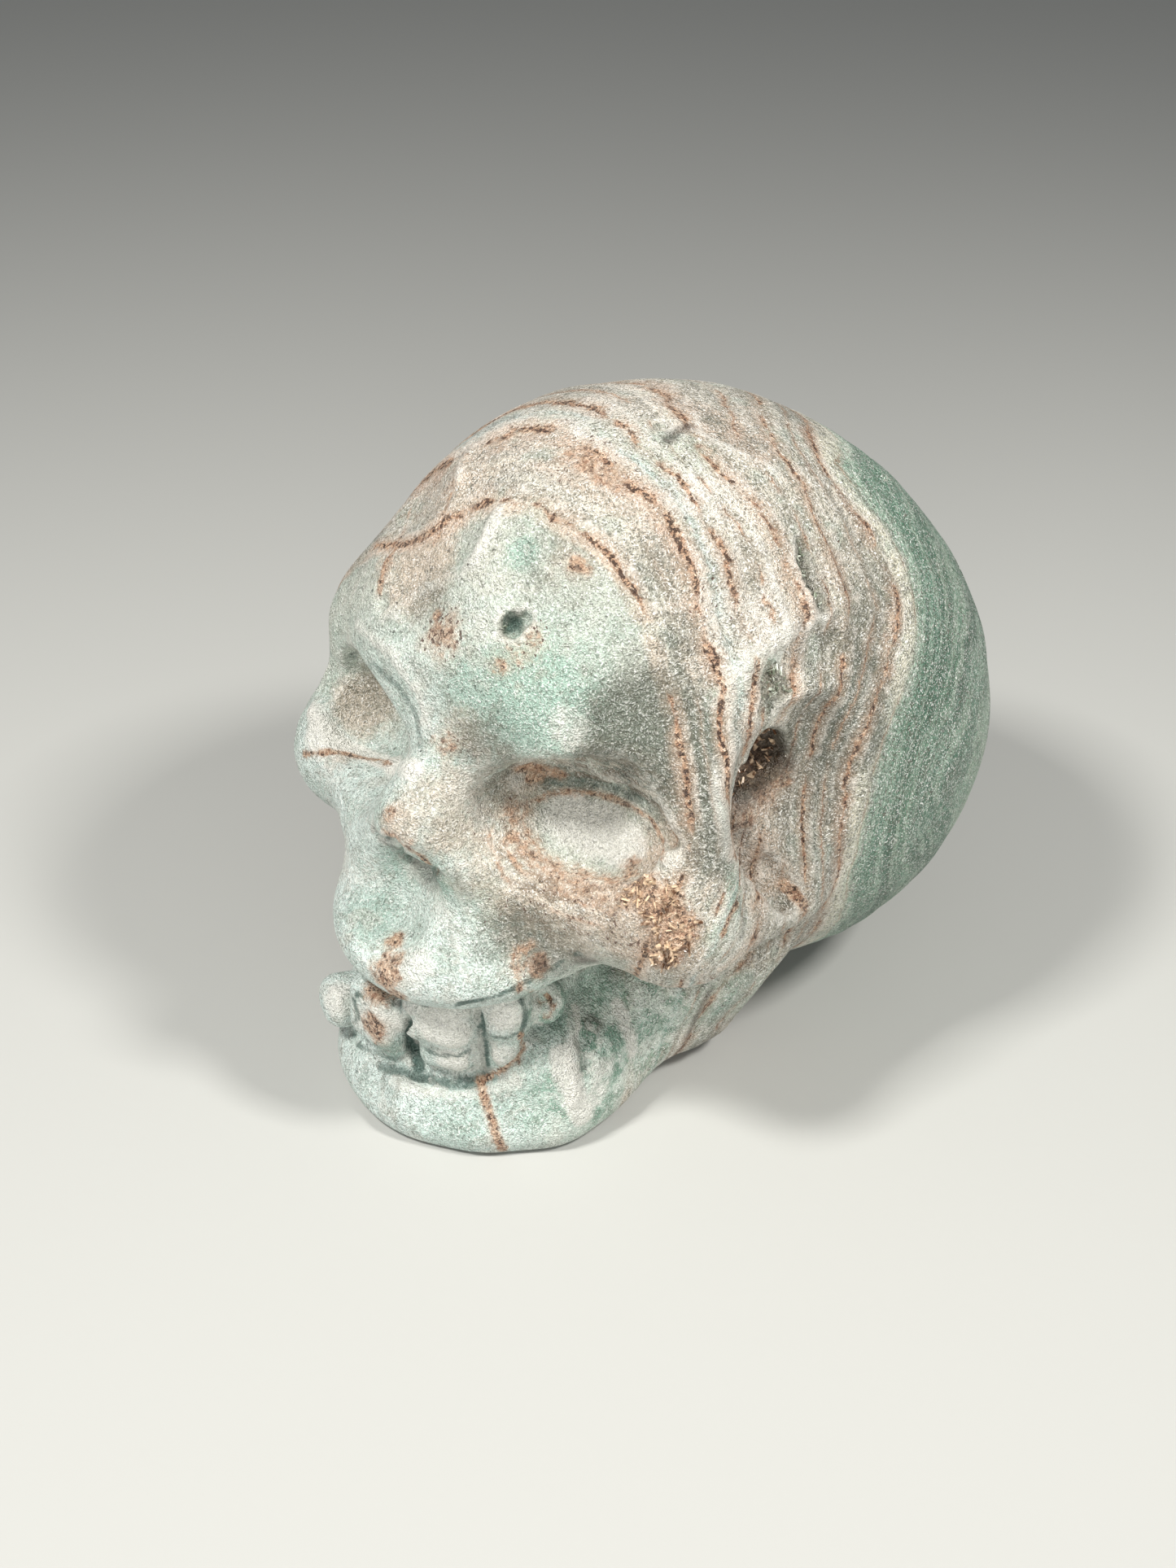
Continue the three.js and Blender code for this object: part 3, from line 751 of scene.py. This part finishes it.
def mask(places):
    out = np.zeros(len(points))
    for (_, reach, strength), at in zip(places, on_stone([v[0] for v in places], carving)):
        out = np.maximum(out, strength * fade(points, at, reach * 0.35, reach * 1.5))
    return out


def line_mask(traces):
    out = np.zeros(len(points))
    for line, wide, strength in traces:
        at = on_stone(line, carving)
        gap = np.min([rod(points, a, b, (0, 0)) for a, b in zip(at, at[1:])], axis=0)
        out = np.maximum(out, strength * np.clip(1.6 - gap / wide, 0, 1))
    return out


open_crystal = np.zeros(len(points))
for (_, radius, depth), at in zip(POCKETS.values(), centres):
    if depth > 1.4:
        open_crystal = np.maximum(open_crystal, fade(points, at, radius * 0.9, radius * 1.5))
slit = creases["temple slit"]
slit_gap = np.min([rod(points, a, b, (0, 0)) for a, b in zip(slit, slit[1:])], axis=0)
ring = around_oval(points)
ringed = fade(points, oval_centre, 8, 17) * np.clip((ring - 0.95) * 5, 0, 1)
vein_gap = np.min([rod(points, a, b, (0, 0)) for a, b in zip(traced[4], traced[4][1:])], axis=0)
iron = 1 - mask(CALM) * np.clip(vein_gap / 1.5 - 0.5, 0, 1)
sunk = np.clip(-rough_out(points), 0, 4)
# the cavern behind the orbit, stronger the deeper it sinks: its brown is painted darker as shade where it deepens
cavern = fade(points, on_stone([(932, 945)])[0], 5, 9) * np.clip(sunk - 0.4, 0, 1)
masks = {"layer": layer, "cavern": cavern, "crease_shadow": line_mask(CREASE_SHADOWS), "iron": iron, "ring": ring, "ringed": ringed, 
         "stain_and_shade": np.maximum(mask(DARK_STAIN_AND_SHADE), line_mask(DARK_STAIN_AND_SHADE_LINES)),
         "hollow_shade": hollow_shade, "worn": worn,
         "rust": np.maximum(mask(RUSTY), line_mask(RUSTY_LINES)), 
         "blue": np.maximum(mask(BLUEISH), line_mask(AQUA_LINES)),
         "white": np.maximum(mask(WHITE), line_mask(WHITE_LINES)),
         "grey_and_shade": mask(GREY_AND_SHADE), "beige": mask(BEIGE), "dotted": mask(DOTTED),
         "crystal": np.maximum(open_crystal, np.clip(2 - slit_gap / 0.8, 0, 1))}
print({name: round(float(v.mean()), 3) for name, v in masks.items()})

# %% The skin becomes a mesh
# the solid is centred on its own length, so the skin moves back by the same amount
TO_CENTRE = np.array([0.0, -3.715, 0.0])
mesh = bpy.data.meshes.new("carved_skull")
mesh.from_pydata(((points + TO_CENTRE) * MM).tolist(), [], faces.tolist())
mesh.update()
for name, values in masks.items():
    mesh.attributes.new(name, "FLOAT", "POINT").data.foreach_set("value", values.astype(np.float32))
mesh.shade_smooth()
skull = bpy.data.objects.new("carved_skull", mesh)
bpy.context.collection.objects.link(skull)
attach(skull, "root")
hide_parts("skull_carving")

# %% [markdown]
# ## Shader sums written as sums
# A shader adds, multiplies and compares with nodes. A small class wraps a node's output, so
# that the sums can be written with the usual signs.

# %% A wrapper for shader outputs
class Node:
    """One output of a shader tree that can be used in sums."""

    def __init__(self, tree, socket):
        self.tree, self.socket = tree, socket

    def make(self, kind, out=0, settings=(), **inputs):
        node = self.tree.nodes.new(kind)
        for name, value in settings:
            setattr(node, name, value)
        for name, value in inputs.items():
            key = int(name[1:]) if name[1:].isdigit() else name.replace("_", " ")
            if isinstance(value, Node):
                self.tree.links.new(value.socket, node.inputs[key])
            else:
                node.inputs[key].default_value = value
        return Node(self.tree, node.outputs[out])

    def math(self, operation, a, b=0.0, c=0.0, clamp=False):
        return self.make("ShaderNodeMath", settings=(("operation", operation),
                                                     ("use_clamp", clamp)), i0=a, i1=b, i2=c)

    def __add__(self, other): return self.math("ADD", self, other)
    def __radd__(self, other): return self.math("ADD", other, self)
    def __sub__(self, other): return self.math("SUBTRACT", self, other)
    def __rsub__(self, other): return self.math("SUBTRACT", other, self)
    def __mul__(self, other): return self.math("MULTIPLY", self, other)
    def __rmul__(self, other): return self.math("MULTIPLY", other, self)
    def __truediv__(self, other): return self.math("DIVIDE", self, other)
    def __rtruediv__(self, other): return self.math("DIVIDE", other, self)
    def __gt__(self, other): return self.math("GREATER_THAN", self, other)
    def __lt__(self, other): return self.math("LESS_THAN", self, other)

    def size(self): return self.math("ABSOLUTE", self)
    def most(self, other): return self.math("MAXIMUM", self, other)
    def least(self, other): return self.math("MINIMUM", self, other)

    def ramp(self, low, high, to_low=0.0, to_high=1.0):
        return self.make("ShaderNodeMapRange", settings=(("interpolation_type", "SMOOTHSTEP"),),
                         i0=self, i1=low, i2=high, i3=to_low, i4=to_high)


def colour(r, g, b):
    """A colour as the eye names it, 0 to 255, turned into the light it stands for."""
    light = [v / 255 / 12.92 if v <= 10 else ((v / 255 + 0.055) / 1.055) ** 2.4 for v in (r, g, b)]
    return (*light, 1.0)


def mix(amount, a, b, how="MIX"):
    """Blend two colours, which may be fixed or come from nodes."""
    return amount.make("ShaderNodeMix", out=2, settings=(("data_type", "RGBA"),
                                                         ("blend_type", how)), i0=amount, i6=a, i7=b)


# %% [markdown]
# ## The stone, from the ground up
# The ground is made of tiny pale blades grown together, like sugar. Bands of cream, beige and
# grey follow the layers, and a blue-green tint deepens towards the back of the head. The bands
# are read from the layer number, bent by noise, so that their edges fray as crystals do. An
# image could show the same bands, but it would smear where the surface turns away.

# %% Patterns measured in millimetres
stone = bpy.data.materials.new("banded_stone")
stone.use_nodes = True
tree = stone.node_tree
surface = tree.nodes["Principled BSDF"]
start = Node(tree, None)
place = start.make("ShaderNodeTexCoord", out=3)


def noise(size_mm, detail=3.0, rough=0.55, at=place, out=0):
    return start.make("ShaderNodeTexNoise", out=out, Vector=at, Scale=1 / (size_mm * MM),
                      Detail=detail, Roughness=rough)


def vector(operation, a, b=(0, 0, 0), c=(0, 0, 0), scale=1.0, out=0):
    return start.make("ShaderNodeVectorMath", out=out, settings=(("operation", operation),),
                      i0=a, i1=b, i2=c, i3=scale)


def shaken(reach_mm):
    """The place, moved a little by noise, so that grains get ragged outlines."""
    return vector("MULTIPLY_ADD", noise(reach_mm, 2.0, out=1), (reach_mm * 0.8 * MM,) * 3, place)


def cells(size_mm, out=0):
    """Ragged grains: output 0 is the distance from the middle, output 1 a colour for each."""
    return start.make("ShaderNodeTexVoronoi", out=out, Vector=shaken(size_mm),
                      Scale=1 / (size_mm * MM))


def blades(bunch_mm, width_mm, detail=1.5, drawn=0.62):
    """Flat needle crystals: in each bunch the noise is drawn out along the bunch's own way."""
    way = vector("NORMALIZE", vector("SUBTRACT", cells(bunch_mm, out=1), (0.5, 0.5, 0.5)))
    along = vector("DOT_PRODUCT", place, way, out=1)
    drawn_out = vector("SUBTRACT", place, vector("SCALE", way, scale=along * drawn))
    return noise(width_mm, detail, 0.6, at=drawn_out)


def first_of(colour_node):
    return start.make("ShaderNodeSeparateColor", Color=colour_node)


def stored(name):
    return start.make("ShaderNodeAttribute", out=2, settings=(("attribute_name", name),))


def along_layers(layer_number, length_mm, per_layer, detail=2.0):
    """Noise drawn out along the layers: long in them and short across them."""
    return start.make("ShaderNodeTexNoise", settings=(("noise_dimensions", "4D"),), Vector=place,
                      W=layer_number * (per_layer * length_mm * MM), Scale=1 / (length_mm * MM),
                      Detail=detail, Roughness=0.6)


def bell(value, at, wide):
    """One where the value meets a number, falling off on both sides."""
    return ((value - at).size() / wide).ramp(0.0, 1.0, 1.0, 0.0)


broad, patchy, fine = noise(9.0, 2.0), noise(3.2, 4.0, 0.6), noise(0.75, 4.0, 0.65)
needle, wide_blade = blades(0.6, 0.17, 0.5), blades(1.3, 0.36, 1.0)
layer_number = stored("layer")
depth = layer_number + (broad - 0.5) * 2.4 + (patchy - 0.5) * 1.8 + (fine - 0.5) * 0.8

# %% Colour of each band
# how far out, then the colour; from the face to the back of the head
BANDS = ((-34, (216, 237, 232)), (-20, (222, 238, 233)), (-12, (206, 222, 214)),
         (-6, (204, 212, 200)), (-1.6, (194, 200, 188)), (-0.6, (212, 196, 178)),
         (0.8, (208, 196, 180)), (1.8, (192, 188, 176)), (3.4, (206, 198, 184)),
         (4.8, (190, 174, 158)), (6.2, (206, 186, 168)), (6.8, (238, 232, 222)),
         (7.6, (192, 208, 204)), (9.0, (204, 192, 178)), (9.8, (226, 218, 206)),
         (11.2, (188, 184, 172)), (12.4, (230, 222, 208)), (13.6, (200, 178, 158)),
         (15.0, (176, 170, 156)), (17.5, (160, 158, 146)), (19.5, (190, 174, 156)),
         (21.0, (172, 168, 154)), (23.4, (160, 154, 140)), (24.4, (140, 126, 110)), (25.2, (146, 118, 96)),
         (26.0, (214, 208, 188)), (28.0, (224, 224, 204)), (29.4, (160, 188, 168)),
         (31.5, (86, 134, 110)), (34.0, (70, 122, 98)), (36.0, (48, 102, 78)),
         (38.0, (104, 148, 122)), (40.0, (44, 94, 72)), (43.0, (70, 120, 96)),
         (44.5, (166, 190, 168)), (46.0, (68, 116, 92)), (54.0, (48, 98, 74)),
         (60.0, (80, 126, 102)))
SPLIT = 15.0


def band_colours(stops):
    """One ramp holds up to 32 colours, so the face and the back have one each."""
    low, high = stops[0][0], stops[-1][0]
    ramp = start.make("ShaderNodeValToRGB", Fac=(depth - low) / (high - low))
    elements = ramp.socket.node.color_ramp.elements
    for _ in stops[2:]:
        elements.new(0.5)
    for element, (at, rgb) in zip(elements, stops):
        element.position, element.color = (at - low) / (high - low), colour(*rgb)
    return ramp


ground = mix(depth > SPLIT, band_colours([b for b in BANDS if b[0] <= SPLIT]),
             band_colours([b for b in BANDS if b[0] >= SPLIT]))
strata = along_layers(depth, 14.0, 1.5, 3.0)
banded = layer_number.ramp(-3.0, 2.0, 0.15, 1.0)
green = layer_number.ramp(27.0, 31.0)
ground = mix(strata.ramp(0.52, 0.60) * banded * (0.50 - green * 0.32), ground,
             colour(232, 226, 210))
ground = mix(strata.ramp(0.48, 0.38) * banded * (0.55 - green * 0.35), ground,
             colour(126, 122, 106))
print(len(BANDS), "bands")

# %% [markdown]
# ## Clouds, chalk, glassy grey and painted shade
# Copper salts tint some places blue-green, others are chalk white, and where the blades are
# thick the stone is clear enough to look grey. The same grey also darkens places that lie in shade,
# under the brow and the cheek and on the sides that turn away, so it is partly painted shade. The
# stored masks say where, and noise breaks their edges up.

# %% Tints over the bands
def frayed(name, amount, low, high):
    value = stored(name)
    return (value + (patchy + fine - 1.0) * amount * value.ramp(0.02, 0.3)).ramp(low, high)


clouds, small_clouds = noise(5.0, 3.0, 0.6), noise(1.8, 3.0, 0.6)
grey_and_shade, white = frayed("grey_and_shade", 0.6, 0.10, 0.8), frayed("white", 0.6, 0.15, 0.8)
# blue-green tint; under the cheek bone it is painted shade
ground = mix(frayed("blue", 0.6, 0.12, 0.9) * 0.72, ground, colour(148, 188, 172))
calm = 1 - stored("iron")
ground = mix(calm * 0.85, ground, colour(208, 228, 216))
ground = mix(clouds.ramp(0.50, 0.66) * (1 - green) * 0.45, ground, colour(170, 192, 180))
ground = mix(clouds.ramp(0.46, 0.34) * (1 - green) * 0.35, ground, colour(222, 216, 204))
ground = mix(frayed("beige", 0.7, 0.12, 0.8) * 0.75, ground, colour(202, 181, 162))
ground = mix(small_clouds.ramp(0.52, 0.66) * (1 - green) * 0.40, ground, colour(138, 140, 126))
ground = mix(clouds.ramp(0.48, 0.62) * green * 0.38, ground, colour(130, 170, 150))
ground = mix(small_clouds.ramp(0.46, 0.36) * green * 0.55, ground, colour(54, 100, 80))
ground = mix(strata.ramp(0.48, 0.38) * green * 0.55, ground, colour(48, 94, 76))
ground = mix(strata.ramp(0.53, 0.60) * green * 0.36, ground, colour(168, 198, 178))
ground = mix(along_layers(depth, 22.0, 0.5, 2.0).ramp(0.56, 0.64) * green * 0.45, ground,
             colour(166, 194, 174))
# glassy grey, partly painted shade
ground = mix(grey_and_shade * 0.88, ground, colour(95, 101, 88))
ground = mix(calm * (clouds + small_clouds - 0.5).ramp(0.47, 0.60) * 0.75, ground,
             colour(112, 160, 138))
ground = mix(calm * (clouds + small_clouds - 0.5).ramp(0.46, 0.36) * 0.7, ground,
             colour(226, 236, 226))
ground = mix(white * 0.90, ground, colour(240, 239, 231))

# rings round the near eye socket, where the hollow cuts through thin layers
ring = stored("ring") + (fine - 0.5) * 0.25 + (patchy - 0.5) * 0.3
contour = along_layers(ring, 3.0, 6.0)
ringed = stored("ringed")
ground = mix(ringed * contour.ramp(0.50, 0.56) * 0.75, ground, colour(122, 104, 84))
ground = mix(ringed * contour.ramp(0.47, 0.40) * 0.55, ground, colour(226, 214, 198))

# %% Blades and flecks of the ground
clear = 1 - white * 0.6 - calm * 0.55
lively = 0.24 + grey_and_shade * 0.20 + banded * 0.36 + small_clouds.ramp(0.50, 0.62) * banded * 0.3
ground = mix(wide_blade.ramp(0.44, 0.34) * clear * lively, ground, colour(104, 106, 92))
ground = mix(needle.ramp(0.44, 0.34) * clear * (lively + 0.08), ground, colour(98, 98, 86))
ground = mix(wide_blade.ramp(0.60, 0.68) * lively * 0.5, ground, colour(236, 234, 226))
ground = mix(needle.ramp(0.59, 0.66) * (lively * 0.6 + 0.42) * (1 - grey_and_shade * 0.45), ground,
             colour(252, 252, 249))
# painted shade in the hollows, a grey-green darkening
ground = mix(stored("hollow_shade").ramp(0.25, 0.9) * 0.55, ground, colour(96, 122, 111))
# painted shadow along the creases, a dark blue-green
ground = mix((stored("crease_shadow") + (fine - 0.5) * 0.8).ramp(0.25, 0.9) * 0.85, ground,
             colour(56, 88, 80))
ground = mix((stored("worn") + fine - 0.5).ramp(0.10, 0.45) * 0.5, ground, colour(240, 238, 230))

# %% [markdown]
# ## Iron in the veins
# Iron stained the thin gaps between some layers. Close up, a vein is a pink glow, a tan core
# of small blades and single grains that are nearly black. The same three colours, spread
# wider, make the rusty patches.

# %% Rust
VEINS_OF_IRON = ((0.0, 0.62, 1.0), (6.0, 0.65, 1.0), (9.0, 0.45, 0.8), (13.5, 0.55, 0.9),
                 (20.0, 0.50, 0.8), (25.0, 0.55, 1.0), (17.2, 0.30, 0.6), (11.0, 0.3, 0.6),
                 (22.5, 0.30, 0.5), (3.2, 0.3, 0.3), (28.6, 0.3, 0.4))
vein_depth = layer_number + (patchy - 0.5) * 1.3 + (fine - 0.5) * 1.0
near = noise(6.0, 2.0).ramp(0.38, 0.56, 0.2, 1.0) * stored("iron")
core = bell(vein_depth, VEINS_OF_IRON[0][0], VEINS_OF_IRON[0][1])
glow = bell(vein_depth, VEINS_OF_IRON[0][0], VEINS_OF_IRON[0][1] * 3.0)
for at, wide, strength in VEINS_OF_IRON[1:]:
    core = core.most(bell(vein_depth, at, wide) * strength)
    glow = glow.most(bell(vein_depth, at, wide * 3.0) * strength)
cream = bell(vein_depth, VEINS_OF_IRON[0][0] + 1.1, 0.6)
for at, wide, strength in VEINS_OF_IRON[1:]:
    cream = cream.most(bell(vein_depth, at + 1.1, 0.6) * strength)
patch = (stored("rust") + ((small_clouds - 0.5) * 1.5 + (fine - 0.5) * 1.2)
         * stored("rust").ramp(0.02, 0.3)).ramp(0.30, 0.95)
rust = (core * near).ramp(0.15, 0.7).most(patch)
halo = (glow * near).most(stored("rust"))
big_blade = blades(1.5, 0.50, 2.0)
cream_broken = cream * stored("iron") * (small_clouds + patchy - 0.5).ramp(0.42, 0.60)
stone_colour = mix(cream_broken * 0.60, ground, colour(242, 236, 226))
stone_colour = mix(halo * 0.45, stone_colour, colour(214, 180, 156))
stone_colour = mix(rust * 0.80, stone_colour, colour(194, 156, 126))
stone_colour = mix(rust * big_blade.ramp(0.55, 0.63) * 0.75, stone_colour, colour(236, 214, 190))
brown = rust * big_blade.ramp(0.47, 0.38)
stone_colour = mix(brown * 0.65, stone_colour, colour(122, 78, 54))
dark = (rust * noise(0.65, 3.0, 0.7).ramp(0.56, 0.59)).most(
    (core * near).ramp(0.3, 0.8) * noise(0.70, 3.0, 0.7).ramp(0.53, 0.57))
stone_colour = mix(dark * 0.9, stone_colour, colour(54, 34, 26))
dotted = stored("dotted")
stone_colour = mix(dotted * small_clouds.ramp(0.40, 0.56) * 0.35, stone_colour,
                   colour(206, 180, 158))
dots = (noise(0.60, 2.0, 0.6) + dotted * 0.17).ramp(0.735, 0.765) * dotted.ramp(0.05, 0.2)
stone_colour = mix(dots * 0.85, stone_colour, colour(84, 54, 40))

# %% Open crystal in the pockets, and stain with painted shade in the pits
crystal = stored("crystal")
stone_colour = mix(crystal.ramp(0.3, 1.0) * 0.55, stone_colour, colour(104, 108, 92))
# brown stain with painted shade in the cavern, pits and cracks
stain_and_shade = stored("stain_and_shade").most(stored("cavern"))
stone_colour = mix(stain_and_shade * (patchy + fine - 0.5).ramp(0.2, 0.8, 0.6, 1.0) * 0.92, stone_colour,
                   colour(62, 48, 38))

# %% [markdown]
# ## Satin with sparks
# The polish is satin, because the blades end at the surface. Here and there one blade lies flat
# to the light and flashes. Those few get a smooth face tilted its own way.

# %% Gloss and fine relief
glint_grain = cells(0.40, out=1)
sparkle = first_of(glint_grain) > 0.93
roughness = 0.52 - sparkle * 0.30 - crystal * 0.15 + (fine - 0.5) * 0.25 + brown * 0.12
height = (needle * 0.9 + wide_blade * 0.9 + fine * 1.0 + patchy * 1.7 + contour * ringed * 0.5
          - rust * 0.7 + rust * big_blade * 1.6 - dark * 0.6 + strata * 0.8
          + crystal * noise(0.6, 2.0) * 1.8)
bump = start.make("ShaderNodeBump", Strength=1.0, Distance=0.50 * MM, Height=height)
lifted = vector("SUBTRACT", glint_grain, (0.5, 0.5, 0.5))
tilted = vector("MULTIPLY_ADD", lifted, (0.9, 0.9, 0.9), bump)
facing = start.make("ShaderNodeMix", out=1, settings=(("data_type", "VECTOR"),), i0=sparkle,
                    i4=bump, i5=tilted)
tree.links.new(stone_colour.socket, surface.inputs["Base Color"])
tree.links.new(roughness.socket, surface.inputs["Roughness"])
tree.links.new(facing.socket, surface.inputs["Normal"])
surface.inputs["IOR"].default_value = 1.61
surface.inputs["Subsurface Weight"].default_value = 0.05
surface.inputs["Subsurface Radius"].default_value = (1.0, 1.0, 0.9)
surface.inputs["Subsurface Scale"].default_value = 0.6 * MM
mesh.materials.append(stone)
print("stone material:", len(tree.nodes), "nodes")

# %% [markdown]
# ## Crystals in the pockets
# The open pockets and the rusty cheek are lined with small six-sided crystals. Geometry Nodes
# scatter them over those faces of the skin, each one turned its own way and partly sunk. A
# bump could only hint at them, and they would have no outline against the dark.

# %% A tree that grows crystals
def crystal_tree():
    made = bpy.data.node_groups.new("crystals", "GeometryNodeTree")
    ask = made.interface.new_socket
    ask("Geometry", in_out="INPUT", socket_type="NodeSocketGeometry")
    ask("Per square metre", in_out="INPUT", socket_type="NodeSocketFloat")
    ask("Smallest", in_out="INPUT", socket_type="NodeSocketFloat")
    ask("Largest", in_out="INPUT", socket_type="NodeSocketFloat")
    ask("Lean", in_out="INPUT", socket_type="NodeSocketFloat")
    ask("Seed", in_out="INPUT", socket_type="NodeSocketInt")
    ask("Material", in_out="INPUT", socket_type="NodeSocketMaterial")
    ask("Geometry", in_out="OUTPUT", socket_type="NodeSocketGeometry")
    node, link = made.nodes.new, made.links.new
    given, result = node("NodeGroupInput"), node("NodeGroupOutput")
    scatter, cone, place_on = (node("GeometryNodeDistributePointsOnFaces"),
                               node("GeometryNodeMeshCone"), node("GeometryNodeInstanceOnPoints"))
    cone.inputs["Vertices"].default_value = 6
    cone.inputs["Radius Top"].default_value = 0.10
    cone.inputs["Radius Bottom"].default_value = 0.24
    cone.inputs["Depth"].default_value = 1.0
    lean, size, shape = (node("FunctionNodeRandomValue") for _ in range(3))
    lean.data_type = "FLOAT_VECTOR"
    shape.data_type = "FLOAT_VECTOR"
    shape.inputs[0].default_value, shape.inputs[1].default_value = (0.9, 0.35, 0.7), (1.5, 0.7, 1.0)
    turn = node("FunctionNodeRotateRotation")
    turn.rotation_space = "LOCAL"
    low, scaled = node("ShaderNodeMath"), node("ShaderNodeVectorMath")
    low.operation, scaled.operation = "MULTIPLY", "SCALE"
    low.inputs[1].default_value = -1
    realize, paint = node("GeometryNodeRealizeInstances"), node("GeometryNodeSetMaterial")
    sink = node("GeometryNodeTransform")
    sink.inputs["Translation"].default_value = (0, 0, -0.35)
    for a, b in ((given.outputs["Geometry"], scatter.inputs["Mesh"]),
                 (given.outputs["Per square metre"], scatter.inputs["Density"]),
                 (given.outputs["Seed"], scatter.inputs["Seed"]),
                 (given.outputs["Seed"], lean.inputs["Seed"]),
                 (given.outputs["Lean"], low.inputs[0]), (low.outputs[0], lean.inputs[0]),
                 (given.outputs["Lean"], lean.inputs[1]),
                 (given.outputs["Smallest"], size.inputs[2]),
                 (given.outputs["Largest"], size.inputs[3]),
                 (scatter.outputs["Points"], place_on.inputs["Points"]),
                 (cone.outputs["Mesh"], sink.inputs["Geometry"]),
                 (sink.outputs["Geometry"], place_on.inputs["Instance"]),
                 (scatter.outputs["Rotation"], turn.inputs["Rotation"]),
                 (lean.outputs["Value"], turn.inputs["Rotate By"]),
                 (turn.outputs["Rotation"], place_on.inputs["Rotation"]),
                 (shape.outputs["Value"], scaled.inputs[0]), (size.outputs[1], scaled.inputs[3]),
                 (scaled.outputs[0], place_on.inputs["Scale"]),
                 (place_on.outputs["Instances"], realize.inputs["Geometry"]),
                 (realize.outputs["Geometry"], paint.inputs["Geometry"]),
                 (given.outputs["Material"], paint.inputs["Material"]),
                 (paint.outputs["Geometry"], result.inputs["Geometry"])):
        link(a, b)
    return made


# %% Two kinds of crystal
def crystal_material(name, pale, deep):
    material = bpy.data.materials.new(name)
    material.use_nodes = True
    begin = Node(material.node_tree, None)
    at = begin.make("ShaderNodeTexCoord", out=3)
    tone = begin.make("ShaderNodeTexNoise", Vector=at, Scale=1 / (0.9 * MM), Detail=3.0)
    shade = mix(tone.ramp(0.38, 0.62), colour(*deep), colour(*pale))
    principled = material.node_tree.nodes["Principled BSDF"]
    material.node_tree.links.new(shade.socket, principled.inputs["Base Color"])
    material.node_tree.links.new(tone.ramp(0.3, 0.7, 0.18, 0.42).socket,
                                 principled.inputs["Roughness"])
    principled.inputs["IOR"].default_value = 1.61
    return material


grow = crystal_tree()


def crystals(name, where, per_mm2, smallest, largest, lean, seed, material):
    chosen = faces[where[faces].min(1) > 0.5]
    used = np.unique(chosen)
    seat = bpy.data.meshes.new(name)
    seat.from_pydata(((points[used] + TO_CENTRE) * MM).tolist(), [],
                     np.searchsorted(used, chosen).tolist())
    bed = bpy.data.objects.new(name, seat)
    bpy.context.collection.objects.link(bed)
    growth = bed.modifiers.new("crystals", "NODES")
    growth.node_group = grow
    socket = {item.name: item.identifier for item in grow.interface.items_tree
              if item.in_out == "INPUT"}
    for label, value in (("Per square metre", per_mm2 * 1e6), ("Smallest", smallest * MM),
                         ("Largest", largest * MM), ("Lean", lean), ("Seed", seed),
                         ("Material", material)):
        growth[socket[label]] = value
    grown = bpy.data.meshes.new_from_object(
        bed.evaluated_get(bpy.context.evaluated_depsgraph_get()))
    bed.modifiers.remove(growth)
    bed.data = grown
    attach(bed, "root")
    print(name, len(grown.polygons), "faces")
    return bed


cheek_rust = masks["rust"] * fade(points, on_stone([(815, 1140)])[0], 5, 10)
in_pocket = masks["crystal"] * np.clip(sunk * 2, 0, 1) * (cavern < 0.3)
crystals("pale_crystals", in_pocket, 1.8, 0.5, 1.1, 0.9, 3,
         crystal_material("pale_crystal", (214, 220, 206), (120, 128, 110)))
crystals("brown_crystals", np.maximum(cavern * 0.55, cheek_rust * 1.2), 1.3, 0.7, 1.6, 1.35, 4,
         crystal_material("brown_crystal", (222, 196, 166), (96, 66, 46)))

# %% [markdown]
# ## Floor, light and camera
# The carving stands on a pale table under wide soft lamps, so that its shadows stay gentle on
# both sides. The camera has the lens and the place that the marks were measured with.

# %% Stage
floor_mesh = bpy.data.meshes.new("floor")
floor_mesh.from_pydata([(-3, -3, 0), (3, -3, 0), (3, 3, 0), (-3, 3, 0)], [], [(0, 1, 2, 3)])
floor = bpy.data.objects.new("floor", floor_mesh)
bpy.context.collection.objects.link(floor)
table = bpy.data.materials.new("pale_table")
table.use_nodes = True
table.node_tree.nodes["Principled BSDF"].inputs["Base Color"].default_value = colour(184, 185, 182)
table.node_tree.nodes["Principled BSDF"].inputs["Roughness"].default_value = 0.8
floor_mesh.materials.append(table)

world = bpy.data.worlds.new("studio")
bpy.context.scene.world = world
world.use_nodes = True
world.node_tree.nodes["Background"].inputs["Color"].default_value = colour(236, 240, 242)
world.node_tree.nodes["Background"].inputs["Strength"].default_value = 0.21


def lamp(name, place_mm, size_mm, watts, tint=(255, 252, 247)):
    data = bpy.data.lights.new(name, "AREA")
    data.size, data.energy, data.color = size_mm * MM, watts, colour(*tint)[:3]
    lamp_object = bpy.data.objects.new(name, data)
    lamp_object.location = Vector(place_mm) * MM
    aim = Vector((0, 0, 40)) * MM - lamp_object.location
    lamp_object.rotation_euler = aim.to_track_quat("-Z", "Y").to_euler()
    bpy.context.collection.objects.link(lamp_object)


lamp("lamp_left", (-51, -240, 377), 70, 1.70)
lamp("lamp_right", (254, 45, 369), 70, 1.50)
lamp("lamp_front", (250, -355, 120), 110, 0.60)

lens = bpy.data.cameras.new("camera")
lens.lens = FOCAL / HIGH * lens.sensor_width
lens.clip_start, lens.clip_end = 0.01, 10
camera = bpy.data.objects.new("camera", lens)
camera.matrix_world = Matrix.Translation(Vector((eye + TO_CENTRE) * MM)) @ Matrix(
    np.column_stack([right, up, back]).tolist()).to_4x4()
bpy.context.collection.objects.link(camera)
bpy.context.scene.camera = camera
bpy.context.scene.view_settings.view_transform = "Standard"
